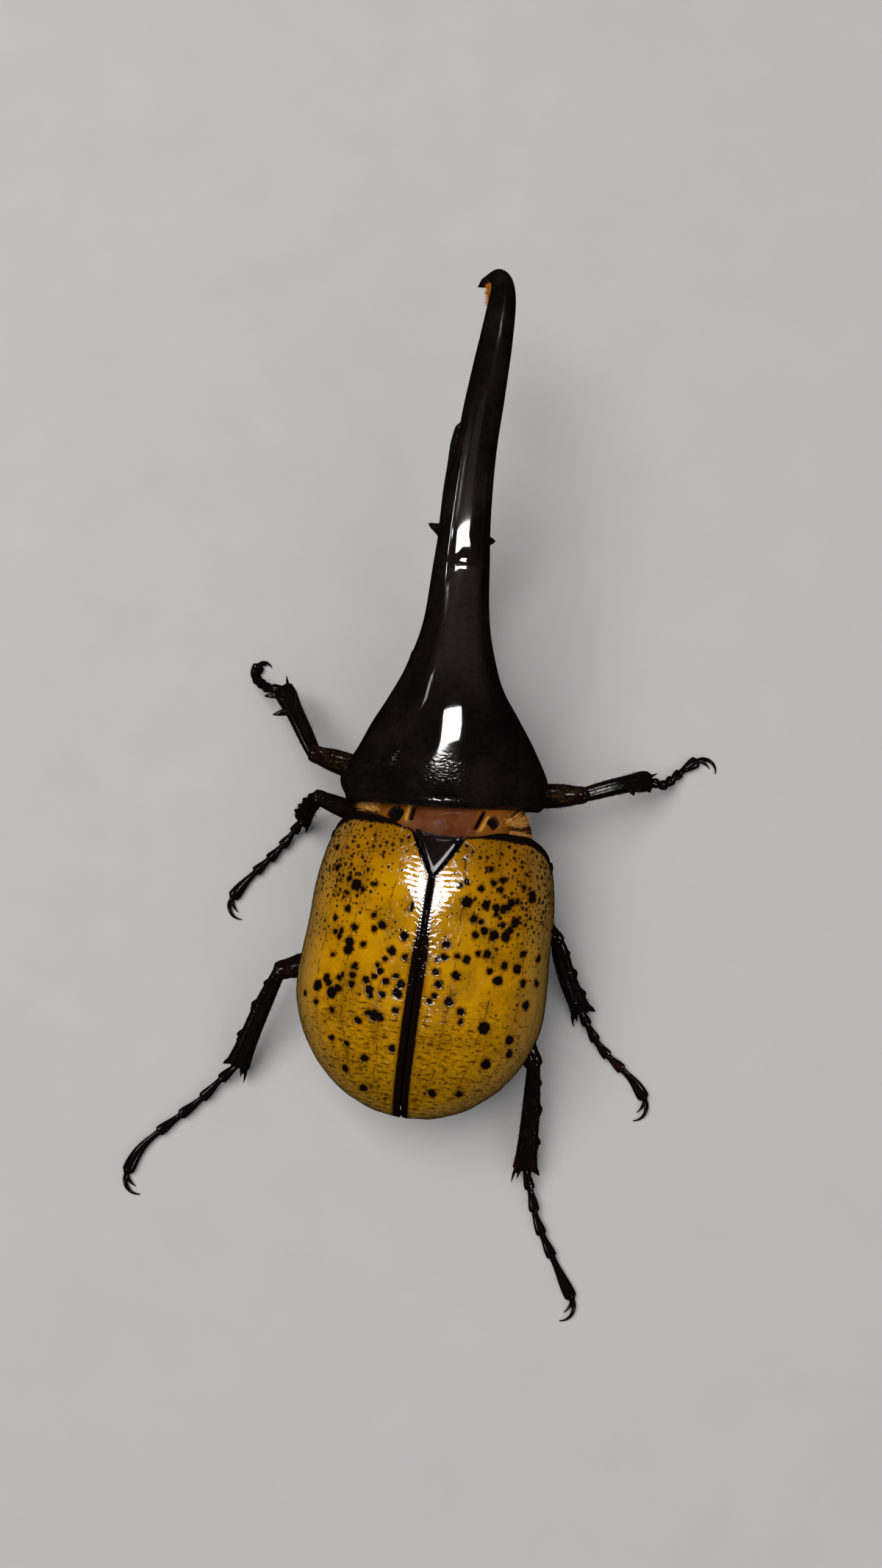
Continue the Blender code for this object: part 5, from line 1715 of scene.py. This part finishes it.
# %% Golden hair
DEGREE = 1 / 360
horn_coat = Coat(41)
horn_coat.plant(great_grid, 5200, (0.60, 0.985), (244 * DEGREE, 300 * DEGREE), 1.25, 0.035,
                (0.75, 0.45, 0.0), 0.28)
horn_coat.plant(great_grid, 2600, (0.66, 0.985), (300 * DEGREE, 346 * DEGREE), 0.75, 0.03,
                (0.9, 0.35, 0.0), 0.25)
horn_coat.plant(great_grid, 3000, (0.85, 0.975), (285 * DEGREE, 378 * DEGREE), 1.3, 0.04,
                (0.8, 0.45, 0.0), 0.25)
horn_coat.grow("great_horn_fringe", orange_hair, "brown_neck")

neck_coat = Coat(42)
neck_coat.plant(collar_grid, 520, (0.30, 0.46), (20 * DEGREE, 52 * DEGREE), 2.8, 0.035,
                (0.22, 0.25, 1.0), 0.16)
neck_coat.plant(collar_grid, 240, (0.38, 0.52), (122 * DEGREE, 150 * DEGREE), 3.2, 0.03,
                (0.20, 0.45, -1.0), 0.20)
neck_coat.plant(collar_grid, 200, (0.26, 0.34), (128 * DEGREE, 150 * DEGREE), 2.6, 0.03,
                (0.25, -0.2, -1.0), 0.10)
neck_coat.grow("gap_tufts", gold_hair, "brown_neck")

breast_coat = Coat(43)
breast_coat.plant(breast_grid, 3600, (0.02, 0.98), (200 * DEGREE, 340 * DEGREE), 1.7, 0.035,
                  (0.35, 0.8, 0.0), 0.35)
breast_coat.plant(great_grid, 1600, (0.02, 0.16), (215 * DEGREE, 325 * DEGREE), 1.6, 0.035,
                  (0.4, -0.6, 0.0), 0.35)
breast_coat.plant(belly_grid, 1200, (0.02, 0.9), (200 * DEGREE, 340 * DEGREE), 0.9, 0.03,
                  (0.25, 0.9, 0.0), 0.3)
breast_coat.grow("breast_hair", gold_hair, "brown_neck")

mouth_coat = Coat(44)
mouth_coat.plant(head_grid, 700, (0.03, 0.15), (215 * DEGREE, 325 * DEGREE), 1.8, 0.035,
                 (0.4, 0.8, 0.0), 0.4)
mouth_coat.grow("mouth_hair", gold_hair, "brown_neck")

# %% [markdown]
# ## Bristles of the legs
#
# Stiff dark bristles stand all round the legs, and the front thighs carry a short tawny nap on
# their upper sides as well.

# %% Bristles of the legs
ALL_ROUND, UNDER_FOOT = (0.0, 1.0), (0.5, 1.0)

bristles = Coat(45)
for place in LEGS:
    bristles.plant(thigh_grids[place], 160, (0.1, 0.95), ALL_ROUND, 1.1, 0.03, (0.5, 0.8, 0.0), 0.3)
    bristles.plant(shin_grids[place], 170, (0.15, 0.98), ALL_ROUND, 1.2, 0.035, (0.5, 0.9, 0.0), 0.3)
    bristles.plant(foot_grids[place], 110, (0.05, 0.95), UNDER_FOOT, 0.8, 0.03, (0.5, 0.9, 0.0), 0.3)
bristles.grow("leg_bristles", dark_hair, "brown_shell")

thigh_coat = Coat(46)
for place in ("front_left", "front_right"):
    thigh_coat.plant(thigh_grids[place], 260, (0.25, 0.85), (40 * DEGREE, 140 * DEGREE), 1.1, 0.022,
                     (0.22, 0.9, 0.0), 0.25)
thigh_coat.grow("front_thigh_hair", tawny_hair, "brown_neck")

# %% [markdown]
# ## Floor
#
# The floor is a plain pale sheet, large enough to fill the view from any side. It lies a hair's
# breadth below zero, so that it doesn't flicker through the flats of the feet.

# %% Floor
FLOOR_HALF, FLOOR_LEVEL = 4.0, -0.00002
FLOOR_DARK, FLOOR_LIGHT = (0.60, 0.585, 0.58, 1.0), (0.66, 0.645, 0.64, 1.0)


def floor():
    """A pale matte floor with a faint mottle."""
    finish = Finish("pale_floor")
    colour = finish.mix(finish.noise(14.0, 4.0), FLOOR_DARK, FLOOR_LIGHT)
    material = finish.surface(colour, 0.55)
    data = bpy.data.meshes.new("floor")
    corners = [(-1, -1), (1, -1), (1, 1), (-1, 1)]
    points = [(x * FLOOR_HALF, y * FLOOR_HALF, FLOOR_LEVEL) for x, y in corners]
    data.from_pydata(points, [], [(0, 1, 2, 3)])
    data.materials.append(material)
    made = bpy.data.objects.new("floor", data)
    bpy.context.scene.collection.objects.link(made)
    made.visible_glossy = False
    print("floor:", 2 * FLOOR_HALF, "metres wide")


floor()

# %% [markdown]
# ## Highlights
#
# A polished shell mirrors bright windows as small white shapes, and their places say more about its
# curves than any shading. Here each window is a small bright lamp, hung where the shell mirrors it
# to the camera. It is seen only in the pieces named for it, so it adds one highlight and changes
# nothing else. The directions were worked out from the normals of the shell: a mirror sends the
# view back at the same angle on the other side of the normal.

# %% Windows
FORE_BODY, SHIELD, NECK = ("fore_body_and_great_horn",), ("shield_plate",), ("collar_plate",)
CASES = ("wing_case_shell_left", "wing_case_shell_right")
SMALL_ENDS = ("_shell", "_joints")
SMALL_STARTS = ("feeler_", "eye_bead_", "jaw_blade_", "palp_joints_", "snout_plate", "head_and_")
SMALL_PIECES = [made.name for made in bpy.data.objects
                if made.name.endswith(SMALL_ENDS) or made.name.startswith(SMALL_STARTS)]
# Windows: the pieces that mirror it, place on the shell in millimetres, direction, distance and
# size in metres, brightness, and spread of the beam in degrees.
WINDOWS = {
    "dome_window": (FORE_BODY, (-7.0, 5.0, 34.0), UP, 0.02, (0.011, 0.0105), 40.0, 170.0),
    "crease_window": (FORE_BODY, (-4.5, -40.9, 40.0), UP, 0.012, (0.0145, 0.0066), 40.0, 170.0),
    "slope_window": (FORE_BODY, (-1.1, -15.1, 35.4), (0.72, 0.12, 0.68), 0.06, (0.018, 0.005), 7.0, 60.0),
    "ridge_window": (FORE_BODY, (-4.7, -40.9, 39.3), (0.78, -0.33, 0.54), 0.3, (0.12, 0.03), 60.0, 60.0),
    "horn_window": (FORE_BODY, (-13.1, -76.0, 35.9), (-0.39, -0.84, 0.37), 0.3, (0.025, 0.03), 10.0, 30.0),
    "horn_sky": (FORE_BODY, (-8.0, -50.0, 40.0), (0.05, -0.42, 0.90), 1.3, (0.9, 0.9), 0.22, 170.0),
    "seam_window": (CASES, (-2.2, 16.0, 31.0), (0.11, -0.11, 0.98), 0.3, (0.085, 0.11), 60.0, 60.0),
    "collar_window": (NECK, (-3.8, 5.7, 27.8), (0.03, -0.40, 0.90), 0.3, (0.03, 0.012), 8.0, 30.0),
    "shoulder_window": (CASES[:1], (6.7, 11.6, 29.7), (0.38, -0.13, 0.91), 0.05, (0.004, 0.004), 14.0, 8.0),
    "shield_window": (SHIELD, (-2.0, 12.6, 30.1), (0.05, 0.40, 0.90), 0.3, (0.45, 0.07), 12.0, 130.0),
}
# The legs and the head share small windows all round.
SMALL_WAYS = ((0.10, -0.15, 0.98), (0.75, -0.30, 0.58), (-0.75, -0.30, 0.58),
              (0.70, 0.45, 0.55), (-0.60, 0.60, 0.50))
for number, way in enumerate(SMALL_WAYS):
    small = (SMALL_PIECES, BODY_MIDDLE, way, 0.6, (0.09, 0.09), 12.0, 60.0)
    WINDOWS[f"small_window_{number}"] = small


def window(name, pieces, seen_at, way, distance, size, brightness, spread):
    """A bright lamp that only the polish of some pieces shows."""
    place = Vector(seen_at) * MM
    made = lamp(name, place + Vector(way).normalized() * distance, place, size, spread)
    half = math.radians(spread) / 2
    made.data.energy = brightness * math.pi * size[0] * size[1] * (1 - half / math.tan(half))
    made.visible_diffuse = False
    mirrors = bpy.data.collections.new(name + "_mirrors")
    for piece_name in pieces:
        mirrors.objects.link(bpy.data.objects[piece_name])
    made.light_linking.receiver_collection = mirrors


for name, settings in WINDOWS.items():
    window(name, *settings)
print("windows:", len(WINDOWS))

# %% [markdown]
# ## Triangles
#
# Last, the triangles are counted, because a model with too many of them is slow to use.

# %% Count of triangles
triangles = 0
for thing in bpy.data.objects:
    if thing.type == "MESH" and not thing.hide_render:
        thing.data.calc_loop_triangles()
        triangles += len(thing.data.loop_triangles)
print("triangles shown:", triangles)
